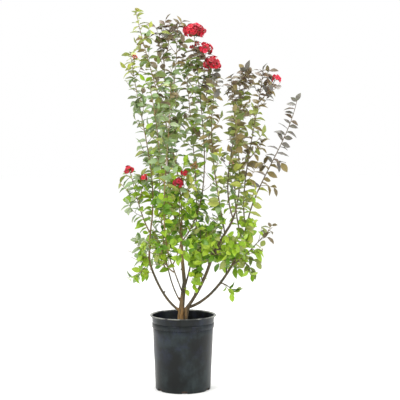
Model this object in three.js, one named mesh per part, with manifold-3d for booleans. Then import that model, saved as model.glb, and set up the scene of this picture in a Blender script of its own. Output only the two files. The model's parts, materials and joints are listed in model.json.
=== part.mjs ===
// A crape myrtle shrub in a black nursery pot, in millimetres with +Z up.
// The origin is the middle of the pot's flat underside, and the front faces -Y.
// Every plant size below is measured from the pot's axis and from the soil level.
import * as THREE from 'three';
import { mergeVertices } from 'three/addons/utils/BufferGeometryUtils.js';
import Module from 'manifold-3d';

const wasm = await Module();
wasm.setup();

// ---------------------------------------------------------------- pot
const POT_HEIGHT = 309;
const RIM_RADIUS = 137;
const RIM_DEPTH = 6;
const COLLAR_TOP_RADIUS = 129.5;
const COLLAR_FOOT_RADIUS = 127;
const COLLAR_FOOT = 256;
const BEAD_HEIGHT = 21;
const BEAD_DEPTH = 1.4;
const BODY_TOP_RADIUS = 125;
const BASE_RADIUS = 114;
const BASE_CHAMFER = 3;
const WALL = 2.2;
const FLOOR = 3;
const POT_SIDES = 30;
const DRAIN_COUNT = 6;
const DRAIN_TURN = THREE.MathUtils.degToRad(4);
const DRAIN_WIDTH = 24;
const DRAIN_HEIGHT = 12;
const DRAIN_DEPTH = 12;

// ---------------------------------------------------------------- potting mix
const GAP = 0.3;
const SOIL_LEVEL = 267;
const SOIL_SAG = 6;
const SOIL_FLAT_RADIUS = 40;
const SOIL_SLOPE_RADIUS = 80;

// ---------------------------------------------------------------- trunk and boughs
// Each limb is one tapering curve that starts on the axis of the limb that carries it, at the
// share `at` of that limb's length, turns at its bend and ends at its tip.
const TRUNK = { foot: [-12, 0, -20], bend: [-7, 0, 84], tip: [6, 0, 172], radii: [14, 8.6] };
const ROOT_FLARE = 8;
const ROOT_FLARE_REACH = 0.2;
const ROOT_LOBES = 4;
const ROOT_LOBE_SHARE = 0.09;
const LIMBS = {
  bough_left: { on: 'trunk', at: 0.38, bend: [-86, 8, 95], tip: [-140, 30, 255],
    radii: [6, 4.6] },
  bough_left_upper: { on: 'bough_left', at: 1, bend: [-142, 32, 339], tip: [-131, 35, 422],
    radii: [4.6, 3.4] },
  bough_left_back: { on: 'trunk', at: 0.55, bend: [-49, 50, 136], tip: [-74, 110, 264],
    radii: [3.4, 2.8] },
  bough_front: { on: 'trunk', at: 0.75, bend: [-20, -60, 187], tip: [-47, -110, 271],
    radii: [3.2, 2.7] },
  bough_centre: { on: 'trunk', at: 1, bend: [2, 0, 217], tip: [-4, 5, 275],
    radii: [8.3, 7.2] },
  bough_centre_upper: { on: 'bough_centre', at: 1, bend: [-8, 5, 349], tip: [-6, 0, 424],
    radii: [7.2, 5.4] },
  bough_back: { on: 'trunk', at: 0.8, bend: [24, 35, 201], tip: [41, 70, 293],
    radii: [4.2, 3.2] },
  bough_right: { on: 'trunk', at: 0.31, bend: [76, -30, 138], tip: [119, -60, 286],
    radii: [7.6, 6.2] },
  bough_right_upper: { on: 'bough_right', at: 1, bend: [147, -66, 343], tip: [180, -70, 397],
    radii: [6.2, 5] },
  bough_right_top: { on: 'bough_right_upper', at: 1, bend: [200, -64, 425], tip: [212, -60, 465],
    radii: [5, 4] },
  bough_far_right: { on: 'bough_right', at: 0.14, bend: [122, 5, 94], tip: [215, 20, 265],
    radii: [6.4, 5.2] },
  bough_far_right_upper: { on: 'bough_far_right', at: 1, bend: [248, 22, 340], tip: [269, 25, 431],
    radii: [5.2, 3.8] },
};
const LIMB_SIDES = 6;
const LIMB_STEP = 48;
const TRUNK_SIDES = 12;

// ---------------------------------------------------------------- masses of foliage
// A mass is a leading shoot and its forks. The leader leaves its bough at the share `at`, a
// fork leaves the leader in the same way, and `tip` is how far its last leaf or head reaches.
// `bloom` is the radius of the flower head at a tip, `bow` how far the middle swings aside.
const SHOOTS = {
  foliage_tall_left: { on: 'bough_left_upper', at: 1, tip: [-222, 60, 1150],
    forks: [{ at: 0.86, tip: [-252, 40, 1080] }] },
  foliage_bloom_left: { on: 'bough_left_upper', at: 0.72, tip: [-219, -40, 640], bloom: 20,
    forks: [{ at: 0.5, tip: [-158, -70, 607], bloom: 15 },
      { at: 0.55, tip: [-280, -10, 606] }] },
  foliage_inner_left: { on: 'bough_centre_upper', at: 0.86, tip: [-133, -120, 985], forks: [] },
  foliage_crown_tall: { on: 'bough_centre_upper', at: 1, tip: [-196, -50, 1310], forks: [] },
  foliage_crown_middle: { on: 'bough_centre_upper', at: 0.7, tip: [-23, -20, 1262], forks: [] },
  foliage_crown_top: { on: 'bough_centre_upper', at: 0.55, tip: [-92, 110, 1262],
    forks: [{ at: 0.85, tip: [-50, 85, 1276] }] },
  foliage_crown_bloom: { on: 'bough_centre_upper', at: 0.45, tip: [46, -30, 1195], bloom: 40,
    bow: [18, 0],
    forks: [{ at: 0.72, tip: [98, -60, 1124], bloom: 25 },
      { at: 0.64, tip: [118, -75, 1068], bloom: 31 }] },
  foliage_back_left: { on: 'bough_left_back', at: 1, tip: [-120, 230, 914], forks: [] },
  foliage_front_left: { on: 'bough_front', at: 1, tip: [-45, -205, 1013], forks: [] },
  foliage_crown_back: { on: 'bough_back', at: 1, tip: [10, 210, 1139], forks: [] },
  foliage_right_inner: { on: 'bough_right_upper', at: 0.86, tip: [140, -150, 1040],
    bow: [-38, -20], forks: [] },
  foliage_right_centre: { on: 'bough_right_top', at: 1, tip: [195, -80, 1045], forks: [] },
  foliage_right_high: { on: 'bough_right_top', at: 0.7, tip: [260, 40, 1110], forks: [] },
  foliage_right_back: { on: 'bough_far_right_upper', at: 0.5, tip: [240, 200, 1060], forks: [] },
  foliage_bloom_far_right: { on: 'bough_far_right_upper', at: 0.8, tip: [322, -90, 1085],
    forks: [{ at: 0.8, tip: [377, -110, 1008], bloom: 22 },
      { at: 0.45, tip: [337, -60, 777] }] },
  foliage_tall_far_right: { on: 'bough_far_right_upper', at: 1, tip: [480, 30, 950], bow: [20, 0],
    forks: [] },
  foliage_low_left: { on: 'bough_left', at: 0.85, tip: [-190, -10, 370], habit: 'bush',
    forks: [{ at: 0.2, tip: [-206, 10, 180] }, { at: 0.25, tip: [-172, -100, 330] }] },
  foliage_low_back_left: { on: 'bough_left_back', at: 0.75, tip: [-138, 200, 400], habit: 'bush',
    forks: [{ at: 0.4, tip: [-40, 200, 350] }] },
  foliage_low_front_left: { on: 'bough_front', at: 0.7, tip: [-110, -200, 390], habit: 'bush',
    forks: [{ at: 0.3, tip: [-110, -110, 250] }] },
  foliage_low_front: { on: 'bough_front', at: 0.9, tip: [10, -200, 400], habit: 'bush', forks: [] },
  foliage_low_centre: { on: 'bough_centre_upper', at: 0.2, tip: [-22, -90, 583], bloom: 25, habit: 'bush',
    forks: [{ at: 0.75, tip: [8, -80, 628], bloom: 12 }] },
  foliage_low_back_right: { on: 'bough_back', at: 0.75, tip: [96, 200, 400], habit: 'bush',
    forks: [{ at: 0.3, tip: [90, 130, 290] }] },
  foliage_low_inner_right: { on: 'bough_right', at: 0.6, tip: [70, -40, 420], habit: 'bush',
    forks: [{ at: 0.15, tip: [100, -130, 200] }, { at: 0.2, tip: [20, -90, 250] }] },
  foliage_low_front_right: { on: 'bough_right', at: 0.86, tip: [92, -180, 440], habit: 'bush', forks: [] },
  foliage_low_right: { on: 'bough_right', at: 0.97, tip: [190, -190, 400], habit: 'bush',
    forks: [{ at: 0.25, tip: [205, -150, 250] }, { at: 0.4, tip: [250, -130, 380] }] },
  foliage_low_middle_right: { on: 'bough_right', at: 0.9, tip: [150, 50, 470], habit: 'bush',
    forks: [{ at: 0.2, tip: [190, 30, 330] }] },
  foliage_low_back_far_right: { on: 'bough_far_right', at: 0.75, tip: [200, 160, 380],
    habit: 'bush',
    forks: [{ at: 0.4, tip: [290, 130, 300] }] },
  foliage_low_outer_right: { on: 'bough_far_right_upper', at: 0.2, tip: [278, -50, 470],
    habit: 'bush', forks: [] },
  foliage_low_far_right: { on: 'bough_far_right', at: 0.92, tip: [384, -40, 423],
    forks: [{ at: 0.2, tip: [290, -60, 190] }, { at: 0.45, tip: [351, 0, 284] }] },
  foliage_hanging: { on: 'bough_far_right', at: 0.6, tip: [243, -10, 120], forks: [] },
};
// A whip is long and sparse, a bush short, twiggy and dense.
const HABITS = {
  whip: { twigSpacing: 165, twigLengths: [95, 50], twigRise: 0.5, leafSpacing: 39,
    leafSize: 0.92 },
  bush: { twigSpacing: 34, twigLengths: [100, 60], twigRise: 0.1, leafSpacing: 29,
    leafSize: 0.85 },
};
const SHOOT_RADII = [3.4, 2];
const FORK_RADII = [2.6, 1.8];
const SHOOT_SIDES = 3;
const SHOOT_STEP = 95;
const SIDE_ANGLE = THREE.MathUtils.degToRad(42);
const LEAVING_SHARE = 0.3;
const ARRIVING_SHARE = 0.35;
const BOW_SCALE = 1.8;
const BOW_LOW_SHARE = -0.1;

// ---------------------------------------------------------------- twigs and leaves
const TWIG_REACH = 0.76;
const TWIG_RADII = [2.2, 1.6];
const TWIG_ANGLE = THREE.MathUtils.degToRad(55);
const TWIG_CHECKS = 6;
const FIRST_TWIG_CHECK = 2;
const BARE_LENGTH = 20;
const MOST_BARE_SHARE = 0.5;
const TWIG_FOOT_SHARE = 0.12;
const LAST_LEAF_SHARE = 0.985;
const LEAF_LENGTH = 70;
const LEAF_WIDTH = 44;
const LEAF_WIDEST = 0.46;
const LEAF_THICKNESS = 2;
const LEAF_ANGLE = THREE.MathUtils.degToRad(52);
const LEAF_ROOT_DEPTH = 0.5;
const EDGE_CHECK_SHARE = 0.6;
const MIDRIB_CHECK_SHARES = [0.3, 0.7];
const GOLDEN_ANGLE = Math.PI * (3 - Math.sqrt(5));
const TURN_JITTER = 0.5;
const SIZE_JITTER = 0.16;
const SMALL_HEAD_RADIUS = 26;
const HEAD_BUMP = 0.2;
const HEAD_HEIGHT_SHARE = 0.8;
const ATTEMPTS = 12;
const ROLL_JITTER = 1.5;
const SPACE_MARGIN = 2;
const LIMB_MARGIN = 1.5;
const SAMPLE_STEP = 12;
const SEED = 41;
const NEXT_SEED = 100;

const GRID = 0.001;
const UP = new THREE.Vector3(0, 0, 1);
const STEEP = 0.9;

// ---------------------------------------------------------------- finishes
const POT_FINISH = { color: 0x3b3d41, roughness: 0.55 };
const MIX_FINISH = { color: 0x3a2c22, roughness: 0.95 };
const BARK_FINISH = { color: 0x7d6350, roughness: 0.85 };
const LEAF_ROUGHNESS = 0.7;
const LEAF_TONES = {
  fresh: 0x6d9440, grey: 0x7f9468, olive: 0x7a7f4c, bronze: 0x75614a, lime: 0xa3b64e,
};
const material = (look) => new THREE.MeshStandardMaterial({ ...look, metalness: 0 });
const potPlastic = () => material(POT_FINISH);
const pottingMix = () => material(MIX_FINISH);
const bark = () => material(BARK_FINISH);
const leafage = (tone) => material({ color: LEAF_TONES[tone], roughness: LEAF_ROUGHNESS });

/** The tone of a mass's leaves, by where its name puts it. */
function toneOf(name) {
  if (/low|hanging|bloom_left/.test(name)) return 'fresh';
  if (/far_right|right_high/.test(name)) return 'bronze';
  if (/tall_left/.test(name)) return 'lime';
  return /left/.test(name) ? 'grey' : 'olive';
}

// ---------------------------------------------------------------- solids
/** Merges a closed geometry's vertices and hands it to the boolean kernel. */
function solidOf(geometry) {
  geometry.deleteAttribute('normal');
  geometry.deleteAttribute('uv');
  const merged = mergeVertices(geometry, GRID);
  return new wasm.Manifold(new wasm.Mesh({
    numProp: 3,
    vertProperties: Float32Array.from(merged.attributes.position.array),
    triVerts: Uint32Array.from(merged.index.array),
  }));
}

/** Turns a solid back into a geometry with flat faces. */
function geometryOf(solid) {
  const mesh = solid.getMesh();
  const geometry = new THREE.BufferGeometry();
  geometry.setAttribute('position', new THREE.BufferAttribute(mesh.vertProperties, mesh.numProp));
  geometry.setIndex(new THREE.BufferAttribute(mesh.triVerts, 1));
  geometry.computeVertexNormals();
  return geometry;
}

/** Keeps the outer skin of a union's largest body, on a fine grid: no hollow and no scrap. */
function mainBody(solid) {
  const geometry = geometryOf(solid);
  const { array } = geometry.attributes.position;
  geometry.attributes.position.array.set(array.map((value) => Math.round(value / GRID) * GRID));
  const bodies = solidOf(geometry).decompose();
  return bodies.reduce((best, body) => (body.volume() > best.volume() ? body : best));
}

/** Tells whether more than two faces share an edge, where a skin pinches to a line. */
function isPinched(solid) {
  const { triVerts } = solid.getMesh();
  const faces = new Map();
  triVerts.forEach((from, corner) => {
    const to = triVerts[corner % 3 === 2 ? corner - 2 : corner + 1];
    const edge = `${Math.min(from, to)} ${Math.max(from, to)}`;
    faces.set(edge, (faces.get(edge) || 0) + 1);
  });
  return [...faces.values()].some((count) => count !== 2);
}

/** A closed tube along a curve whose outline radius follows radiusAt(share, angle). */
function tube(curve, radiusAt, sides, steps) {
  const frames = curve.computeFrenetFrames(steps, false);
  const positions = [];
  for (let ring = 0; ring <= steps; ring += 1) {
    const share = ring / steps;
    const centre = curve.getPointAt(share);
    for (let side = 0; side < sides; side += 1) {
      const angle = (side / sides) * 2 * Math.PI;
      const radius = radiusAt(share, angle);
      positions.push(...centre.clone()
        .addScaledVector(frames.normals[ring], radius * Math.cos(angle))
        .addScaledVector(frames.binormals[ring], radius * Math.sin(angle)));
    }
  }
  const index = [];
  for (let ring = 0; ring < steps; ring += 1) {
    for (let side = 0; side < sides; side += 1) {
      const here = ring * sides + side;
      const next = ring * sides + ((side + 1) % sides);
      index.push(here, next, here + sides, next, next + sides, here + sides);
    }
  }
  for (let side = 1; side < sides - 1; side += 1) {
    const top = steps * sides;
    index.push(0, side + 1, side, top, top + side, top + side + 1);
  }
  const geometry = new THREE.BufferGeometry();
  geometry.setAttribute('position', new THREE.Float32BufferAttribute(positions, 3));
  geometry.setIndex(index);
  return geometry;
}

/** A repeatable stream of numbers from 0 to 1. */
function randomStream(seed) {
  let state = seed >>> 0;
  return () => {
    state = (state + 0x6d2b79f5) >>> 0;
    let value = Math.imul(state ^ (state >>> 15), state | 1);
    value ^= value + Math.imul(value ^ (value >>> 7), value | 61);
    return ((value ^ (value >>> 14)) >>> 0) / 2 ** 32;
  };
}

/** A unit vector square to the axis, turned about it by an angle. */
function sideways(axis, angle) {
  const reference = Math.abs(axis.z) > STEEP ? new THREE.Vector3(1, 0, 0) : UP;
  const side = new THREE.Vector3().crossVectors(axis, reference).normalize();
  return side.applyAxisAngle(axis, angle);
}

/** The direction that leans from an axis towards a side by an angle. */
function leaning(axis, side, angle) {
  const leant = axis.clone().multiplyScalar(Math.cos(angle));
  return leant.addScaledVector(side, Math.sin(angle)).normalize();
}

// ---------------------------------------------------------------- pot and mix
const BEAD_TOP = COLLAR_FOOT + BEAD_HEIGHT;
const { mapLinear } = THREE.MathUtils;

/** The wall's inner radius at a height up to the top of the bead. */
function innerRadius(z) {
  const outer = z < COLLAR_FOOT
    ? mapLinear(z, BASE_CHAMFER, COLLAR_FOOT, BASE_RADIUS, BODY_TOP_RADIUS)
    : mapLinear(z, COLLAR_FOOT, BEAD_TOP, BODY_TOP_RADIUS, COLLAR_FOOT_RADIUS);
  return outer - WALL;
}

/** An outline of radius and height pairs turned about the pot's axis. */
function turned(outline) {
  const points = outline.map(([radius, z]) => new THREE.Vector2(radius, z));
  return solidOf(new THREE.LatheGeometry(points, POT_SIDES).rotateX(Math.PI / 2));
}

/** The pot's wall and floor: a tapered can with a flat bead under a plain collar and flared rim. */
function potShell() {
  const lip = POT_HEIGHT - RIM_DEPTH;
  const beadRadius = COLLAR_FOOT_RADIUS + BEAD_DEPTH;
  const outline = [
    [0, 0],
    [BASE_RADIUS - BASE_CHAMFER, 0],
    [BASE_RADIUS, BASE_CHAMFER],
    [BODY_TOP_RADIUS, COLLAR_FOOT],
    [beadRadius, COLLAR_FOOT + BEAD_DEPTH],
    [beadRadius, BEAD_TOP - BEAD_DEPTH],
    [COLLAR_FOOT_RADIUS, BEAD_TOP],
    [COLLAR_TOP_RADIUS, lip + WALL],
    [RIM_RADIUS - WALL, lip + WALL],
    [RIM_RADIUS - WALL / 2, lip],
    [RIM_RADIUS, lip + WALL],
    [RIM_RADIUS, POT_HEIGHT - WALL / 2],
    [RIM_RADIUS - WALL / 2, POT_HEIGHT],
    [COLLAR_TOP_RADIUS - WALL, POT_HEIGHT],
    [innerRadius(BEAD_TOP), BEAD_TOP],
    [innerRadius(COLLAR_FOOT), COLLAR_FOOT],
    [innerRadius(FLOOR), FLOOR],
    [0, FLOOR],
  ];
  return turned(outline);
}

/** The pot with its drain openings cut through the corner of wall and floor. */
function pot() {
  let body = potShell();
  for (let drain = 0; drain < DRAIN_COUNT; drain += 1) {
    const opening = new THREE.BoxGeometry(DRAIN_DEPTH * 2, DRAIN_WIDTH, DRAIN_HEIGHT * 2);
    opening.translate(BASE_RADIUS, 0, 0);
    opening.rotateZ(DRAIN_TURN - Math.PI / 2 + (drain / DRAIN_COUNT) * 2 * Math.PI);
    body = body.subtract(solidOf(opening));
  }
  return geometryOf(body);
}

/** The root ball of mix that fills the pot, level round the trunk and sagging to the wall. */
function mixFill() {
  const edge = SOIL_LEVEL - SOIL_SAG;
  const outline = [
    [0, FLOOR + GAP],
    [innerRadius(FLOOR) - GAP, FLOOR + GAP],
    [innerRadius(COLLAR_FOOT) - GAP, COLLAR_FOOT],
    [innerRadius(edge) - GAP, edge],
    [SOIL_SLOPE_RADIUS, SOIL_LEVEL - SOIL_SAG / 3],
    [SOIL_FLAT_RADIUS, SOIL_LEVEL],
    [0, SOIL_LEVEL],
  ];
  return geometryOf(turned(outline));
}

// ---------------------------------------------------------------- limbs
const taper = (radii, share) => THREE.MathUtils.lerp(radii[0], radii[1], share);
const vector = (xyz) => new THREE.Vector3(...xyz);

/** The curves of the trunk and of every bough, by name. */
function limbCurves() {
  const bent = (foot, { bend, tip }) => new THREE.QuadraticBezierCurve3(foot, vector(bend), vector(tip));
  const curves = { trunk: bent(vector(TRUNK.foot), TRUNK) };
  for (const [name, limb] of Object.entries(LIMBS)) {
    curves[name] = bent(curves[limb.on].getPointAt(limb.at), limb);
  }
  return curves;
}

/** The trunk's radius: an even taper with lobed roots that flare to the soil. */
function trunkRadius(share, angle) {
  const fade = Math.exp(-share / ROOT_FLARE_REACH);
  const lobes = 1 + ROOT_LOBE_SHARE * Math.cos(ROOT_LOBES * angle) * fade;
  return (taper(TRUNK.radii, share) + ROOT_FLARE * fade) * lobes;
}

function limbRadius(name, share, angle) {
  return name === 'trunk' ? trunkRadius(share, angle) : taper(LIMBS[name].radii, share);
}

/** A limb's solid, grown on every side and past its tip by a clearance. */
function limbSolid(name, curve, clearance = 0) {
  const steps = Math.ceil(curve.getLength() / LIMB_STEP);
  const sides = name === 'trunk' ? TRUNK_SIDES : LIMB_SIDES;
  const grown = clearance / Math.cos(Math.PI / sides);
  const radiusAt = (share, angle) => limbRadius(name, share, angle) + grown;
  const body = solidOf(tube(curve, radiusAt, sides, steps));
  if (clearance === 0) return body;
  const tip = curve.getPointAt(1);
  const ahead = curve.getTangentAt(1);
  const past = tip.clone().addScaledVector(ahead, clearance);
  const cap = new THREE.LineCurve3(tip.addScaledVector(ahead, -1), past);
  return body.add(solidOf(tube(cap, () => radiusAt(1, 0), sides * 2, 1)));
}

// ---------------------------------------------------------------- shoots
const stepsAlong = (curve, step) => Math.max(2, Math.round(curve.getLength() / step));

/** The point at a share of a stem's length, on the straight runs between its rings. */
function stemPoint(curve, share) {
  const steps = stepsAlong(curve, SHOOT_STEP);
  const ring = Math.min(Math.floor(share * steps), steps - 1);
  const next = curve.getPointAt((ring + 1) / steps);
  return curve.getPointAt(ring / steps).lerp(next, share * steps - ring);
}

/** The curve of a shoot from a foot on its parent to a last leaf short of its reach. */
function shootCurve(parent, foot, lastLeaf, { at, tip, bloom, bow = [0, 0] }) {
  const along = parent.getTangentAt(at);
  const heading = vector(tip).sub(foot).normalize();
  const end = vector(tip).addScaledVector(heading, bloom ? 0 : -lastLeaf);
  const reach = end.distanceTo(foot);
  const side = heading.clone().addScaledVector(along, -heading.dot(along)).normalize();
  const leaving = at === 1 ? along : leaning(along, side, SIDE_ANGLE);
  const swing = new THREE.Vector3(bow[0], bow[1], 0).multiplyScalar(BOW_SCALE);
  return new THREE.CubicBezierCurve3(
    foot,
    foot.clone().addScaledVector(leaving, reach * LEAVING_SHARE).addScaledVector(swing, BOW_LOW_SHARE),
    end.clone().addScaledVector(heading, -reach * ARRIVING_SHARE).add(swing),
    end,
  );
}

/** The leader and forks of every mass, as curves with their radii and flower heads. */
function shootsOf(plan, limbs) {
  const lastLeaf = LEAF_LENGTH * HABITS[plan.habit || 'whip'].leafSize;
  const limb = limbs[plan.on];
  const leader = shootCurve(limb, limb.getPointAt(plan.at), lastLeaf, plan);
  const shoots = [{ curve: leader, radii: SHOOT_RADII, bloom: plan.bloom }];
  for (const fork of plan.forks) {
    const curve = shootCurve(leader, stemPoint(leader, fork.at), lastLeaf, fork);
    shoots.push({ curve, radii: FORK_RADII, bloom: fork.bloom });
  }
  return shoots;
}

/** Points all along a curve, close enough together to stand for it. */
const samples = (curve) => curve.getSpacedPoints(stepsAlong(curve, SAMPLE_STEP));

const distanceTo = (points, point) => Math.min(...points.map((other) => other.distanceTo(point)));

/** Tells whether points keep to a mass's own space and stay clear of every limb. */
function spaceKeeper(name, masses, limbs) {
  const pointsOf = (mass) => masses[mass].flatMap(({ curve }) => samples(curve));
  const own = pointsOf(name);
  const others = Object.keys(masses).filter((other) => other !== name).flatMap(pointsOf);
  const wood = Object.entries(limbs).flatMap(([limb, curve]) => samples(curve)
    .map((point, index, all) => ({ point, radius: limbRadius(limb, index / (all.length - 1), 0) })));
  const keepsSpace = (point, radius) => (
    distanceTo(others, point) - distanceTo(own, point) > SPACE_MARGIN + radius);
  const isOffWood = (point, radius) => wood.every((part) => (
    part.point.distanceTo(point) > part.radius + radius + LIMB_MARGIN));
  return (points, radius) => points.every((point) => (
    keepsSpace(point, radius) && isOffWood(point, radius)));
}

// ---------------------------------------------------------------- leaves, twigs, flower heads
/** The corners of a keeled leaf: root, tip, two edges that droop a little, and the ridge. */
function leafCorners(root, direction, upper, size) {
  const across = new THREE.Vector3().crossVectors(direction, upper).normalize();
  const at = (along, sidewise, lift) => root.clone()
    .addScaledVector(direction, along * LEAF_LENGTH * size)
    .addScaledVector(across, sidewise * LEAF_WIDTH * size)
    .addScaledVector(upper, lift);
  const start = root.clone().addScaledVector(direction, -LEAF_ROOT_DEPTH);
  const edges = [at(LEAF_WIDEST, 0.5, 0), at(LEAF_WIDEST, -0.5, 0)];
  return [start, at(1, 0, 0), ...edges, at(LEAF_WIDEST, 0, LEAF_THICKNESS)];
}

/** Points over a leaf's blade that show where it reaches. */
function leafReach([root, tip, left, right]) {
  const between = (from, to, share) => from.clone().lerp(to, share);
  const edges = [left, right].flatMap((edge) => [
    edge, between(edge, tip, EDGE_CHECK_SHARE), between(root, edge, EDGE_CHECK_SHARE)]);
  return [tip, ...edges, ...MIDRIB_CHECK_SHARES.map((share) => between(root, tip, share))];
}

/** A leaf's solid: four faces over its keel and two below. */
function leafSolid(corners) {
  const geometry = new THREE.BufferGeometry();
  const positions = corners.flatMap((corner) => [...corner]);
  geometry.setAttribute('position', new THREE.Float32BufferAttribute(positions, 3));
  geometry.setIndex([0, 4, 3, 3, 4, 1, 1, 4, 2, 2, 4, 0, 0, 3, 2, 1, 2, 3]);
  return solidOf(geometry);
}

/** A flower head: a faceted ball, a little flattened, of uneven radius. */
function flowerHead(centre, radius, random) {
  const ball = new THREE.IcosahedronGeometry(radius, radius > SMALL_HEAD_RADIUS ? 1 : 0);
  const merged = mergeVertices(ball.deleteAttribute('normal').deleteAttribute('uv'));
  const { position } = merged.attributes;
  for (let index = 0; index < position.count; index += 1) {
    const bump = 1 + (random() - 0.5) * HEAD_BUMP;
    position.setXYZ(
      index,
      position.getX(index) * bump + centre.x,
      position.getY(index) * bump + centre.y,
      position.getZ(index) * bump * HEAD_HEIGHT_SHARE + centre.z,
    );
  }
  return solidOf(merged);
}

/** Tells whether two bounding boxes meet. */
function boxesMeet(one, two) {
  return one.min.every((low, axis) => low <= two.max[axis] && two.min[axis] <= one.max[axis]);
}

/** The solids of one mass as they are set, each kept clear of all but the stem it grows on. */
class Growth {
  constructor(habit, fits, random) {
    this.habit = habit;
    this.fits = fits;
    this.random = random;
    this.parts = [];
  }

  add(solid) {
    this.parts.push({ solid, box: solid.boundingBox() });
    return solid;
  }

  unevenness() {
    return 1 + (this.random() * 2 - 1) * SIZE_JITTER;
  }

  isClear(solid, stem) {
    const box = solid.boundingBox();
    return this.parts.every((part) => part.solid === stem || !boxesMeet(part.box, box)
      || part.solid.intersect(solid).isEmpty());
  }

  addStem(shoot) {
    return this.add(stemSolid(shoot));
  }

  /** Sets one leaf at a share of a stem, turned on until it fits, or leaves it out. */
  addLeaf(shoot, stem, share, firstTurn, isLast) {
    const along = shoot.curve.getTangentAt(share);
    const size = this.habit.leafSize * this.unevenness();
    const roll = (this.random() - 0.5) * ROLL_JITTER;
    for (let attempt = 0; attempt < ATTEMPTS; attempt += 1) {
      const side = sideways(along, firstTurn + attempt * GOLDEN_ANGLE);
      const direction = isLast ? along : leaning(along, side, LEAF_ANGLE);
      const facing = isLast ? side : leaning(along, side, LEAF_ANGLE - Math.PI / 2);
      const upper = facing.applyAxisAngle(direction, roll);
      const corners = leafCorners(stemPoint(shoot.curve, share), direction, upper, size);
      const leaf = leafSolid(corners);
      if (this.fits(leafReach(corners), 0) && this.isClear(leaf, stem)) return this.add(leaf);
    }
    return null;
  }

  /** Sets leaves along a stem from past its foot to its tip, each turned on. */
  addLeaves(shoot, stem) {
    const length = shoot.curve.getLength();
    const from = Math.min(MOST_BARE_SHARE, BARE_LENGTH / length);
    const count = Math.max(1, Math.round((length * (1 - from)) / this.habit.leafSpacing));
    let turn = this.random() * 2 * Math.PI;
    for (let index = 1; index <= count; index += 1) {
      const share = THREE.MathUtils.lerp(from, LAST_LEAF_SHARE, index / count);
      turn += GOLDEN_ANGLE + (this.random() - 0.5) * TURN_JITTER;
      this.addLeaf(shoot, stem, share, turn, index === count);
    }
  }

  /** Sets one leafy side twig at a share of a shoot, turned on until it fits. */
  addTwig(shoot, stem, share, firstTurn) {
    const length = taper(this.habit.twigLengths, share) * this.unevenness();
    const along = shoot.curve.getTangentAt(share);
    const foot = stemPoint(shoot.curve, share);
    for (let attempt = 0; attempt < ATTEMPTS; attempt += 1) {
      const side = sideways(along, firstTurn + attempt * GOLDEN_ANGLE);
      const outward = leaning(along, side, TWIG_ANGLE);
      const elbow = foot.clone().addScaledVector(outward, length / 2);
      const upward = outward.clone().lerp(UP, this.habit.twigRise).normalize();
      const tip = elbow.clone().addScaledVector(upward, length / 2);
      const curve = new THREE.QuadraticBezierCurve3(foot, elbow, tip);
      const solid = stemSolid({ curve, radii: TWIG_RADII });
      const reach = curve.getSpacedPoints(TWIG_CHECKS).slice(FIRST_TWIG_CHECK);
      if (this.fits(reach, TWIG_RADII[1]) && this.isClear(solid, stem)) {
        return { curve, solid: this.add(solid) };
      }
    }
    return null;
  }

  /** Sets side twigs up a shoot, shorter towards its tip, and returns those that fit. */
  addTwigs(shoot, stem) {
    const count = Math.floor(shoot.curve.getLength() / this.habit.twigSpacing);
    const twigs = [];
    let turn = this.random() * 2 * Math.PI;
    for (let index = 1; index < count; index += 1) {
      turn += GOLDEN_ANGLE + (this.random() - 0.5) * TURN_JITTER;
      const share = TWIG_FOOT_SHARE + (index / count) * TWIG_REACH;
      twigs.push(this.addTwig(shoot, stem, share, turn));
    }
    return twigs.filter(Boolean);
  }
}

/** A stem's solid: a tapered tube of three sides. */
function stemSolid({ curve, radii }) {
  const steps = stepsAlong(curve, SHOOT_STEP);
  return solidOf(tube(curve, (share) => taper(radii, share), SHOOT_SIDES, steps));
}

/** One mass: its shoots cut clear of the limbs, flower heads, side twigs and leaves, fused. */
function foliageMass(shoots, habit, fits, limbSolids, seed) {
  const growth = new Growth(habit, fits, randomStream(seed));
  const stems = shoots.map((shoot) => growth.addStem(shoot));
  for (const shoot of shoots.filter(({ bloom }) => bloom)) {
    growth.add(flowerHead(shoot.curve.getPointAt(1), shoot.bloom, growth.random));
  }
  const twigs = shoots.flatMap((shoot, index) => growth.addTwigs(shoot, stems[index]));
  for (const twig of twigs) growth.addLeaves(twig, twig.solid);
  shoots.forEach((shoot, index) => growth.addLeaves(shoot, stems[index]));
  const fused = growth.parts.map(({ solid }) => solid).reduce((whole, solid) => whole.add(solid));
  const clear = limbSolids.reduce((whole, limb) => whole.subtract(limb), fused);
  const mass = mainBody(clear);
  if (isPinched(mass)) return foliageMass(shoots, habit, fits, limbSolids, seed + NEXT_SEED);
  return geometryOf(mass);
}

// ---------------------------------------------------------------- the whole plant
function named(name, geometry, look) {
  const mesh = new THREE.Mesh(geometry, look);
  mesh.name = name;
  return mesh;
}

/** The trunk and boughs, each bough cut 0.3 mm clear of the limb that carries it. */
function addLimbs(plant, limbs, cleared) {
  for (const name of Object.keys(limbs)) {
    const limb = limbSolid(name, limbs[name]);
    const seated = name === 'trunk'
      ? limb.trimByPlane([0, 0, 1], GAP) : limb.subtract(cleared[LIMBS[name].on]);
    plant.add(named(name, geometryOf(mainBody(seated)), bark()));
  }
}

/** The masses of foliage, each grown from its own seed in its own space. */
function addMasses(plant, limbs, cleared) {
  const masses = {};
  for (const [name, plan] of Object.entries(SHOOTS)) masses[name] = shootsOf(plan, limbs);
  Object.keys(masses).forEach((name, index) => {
    const fits = spaceKeeper(name, masses, limbs);
    const habit = HABITS[SHOOTS[name].habit || 'whip'];
    const mass = foliageMass(masses[name], habit, fits, Object.values(cleared), SEED + index);
    plant.add(named(name, mass, leafage(toneOf(name))));
  });
}

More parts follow.
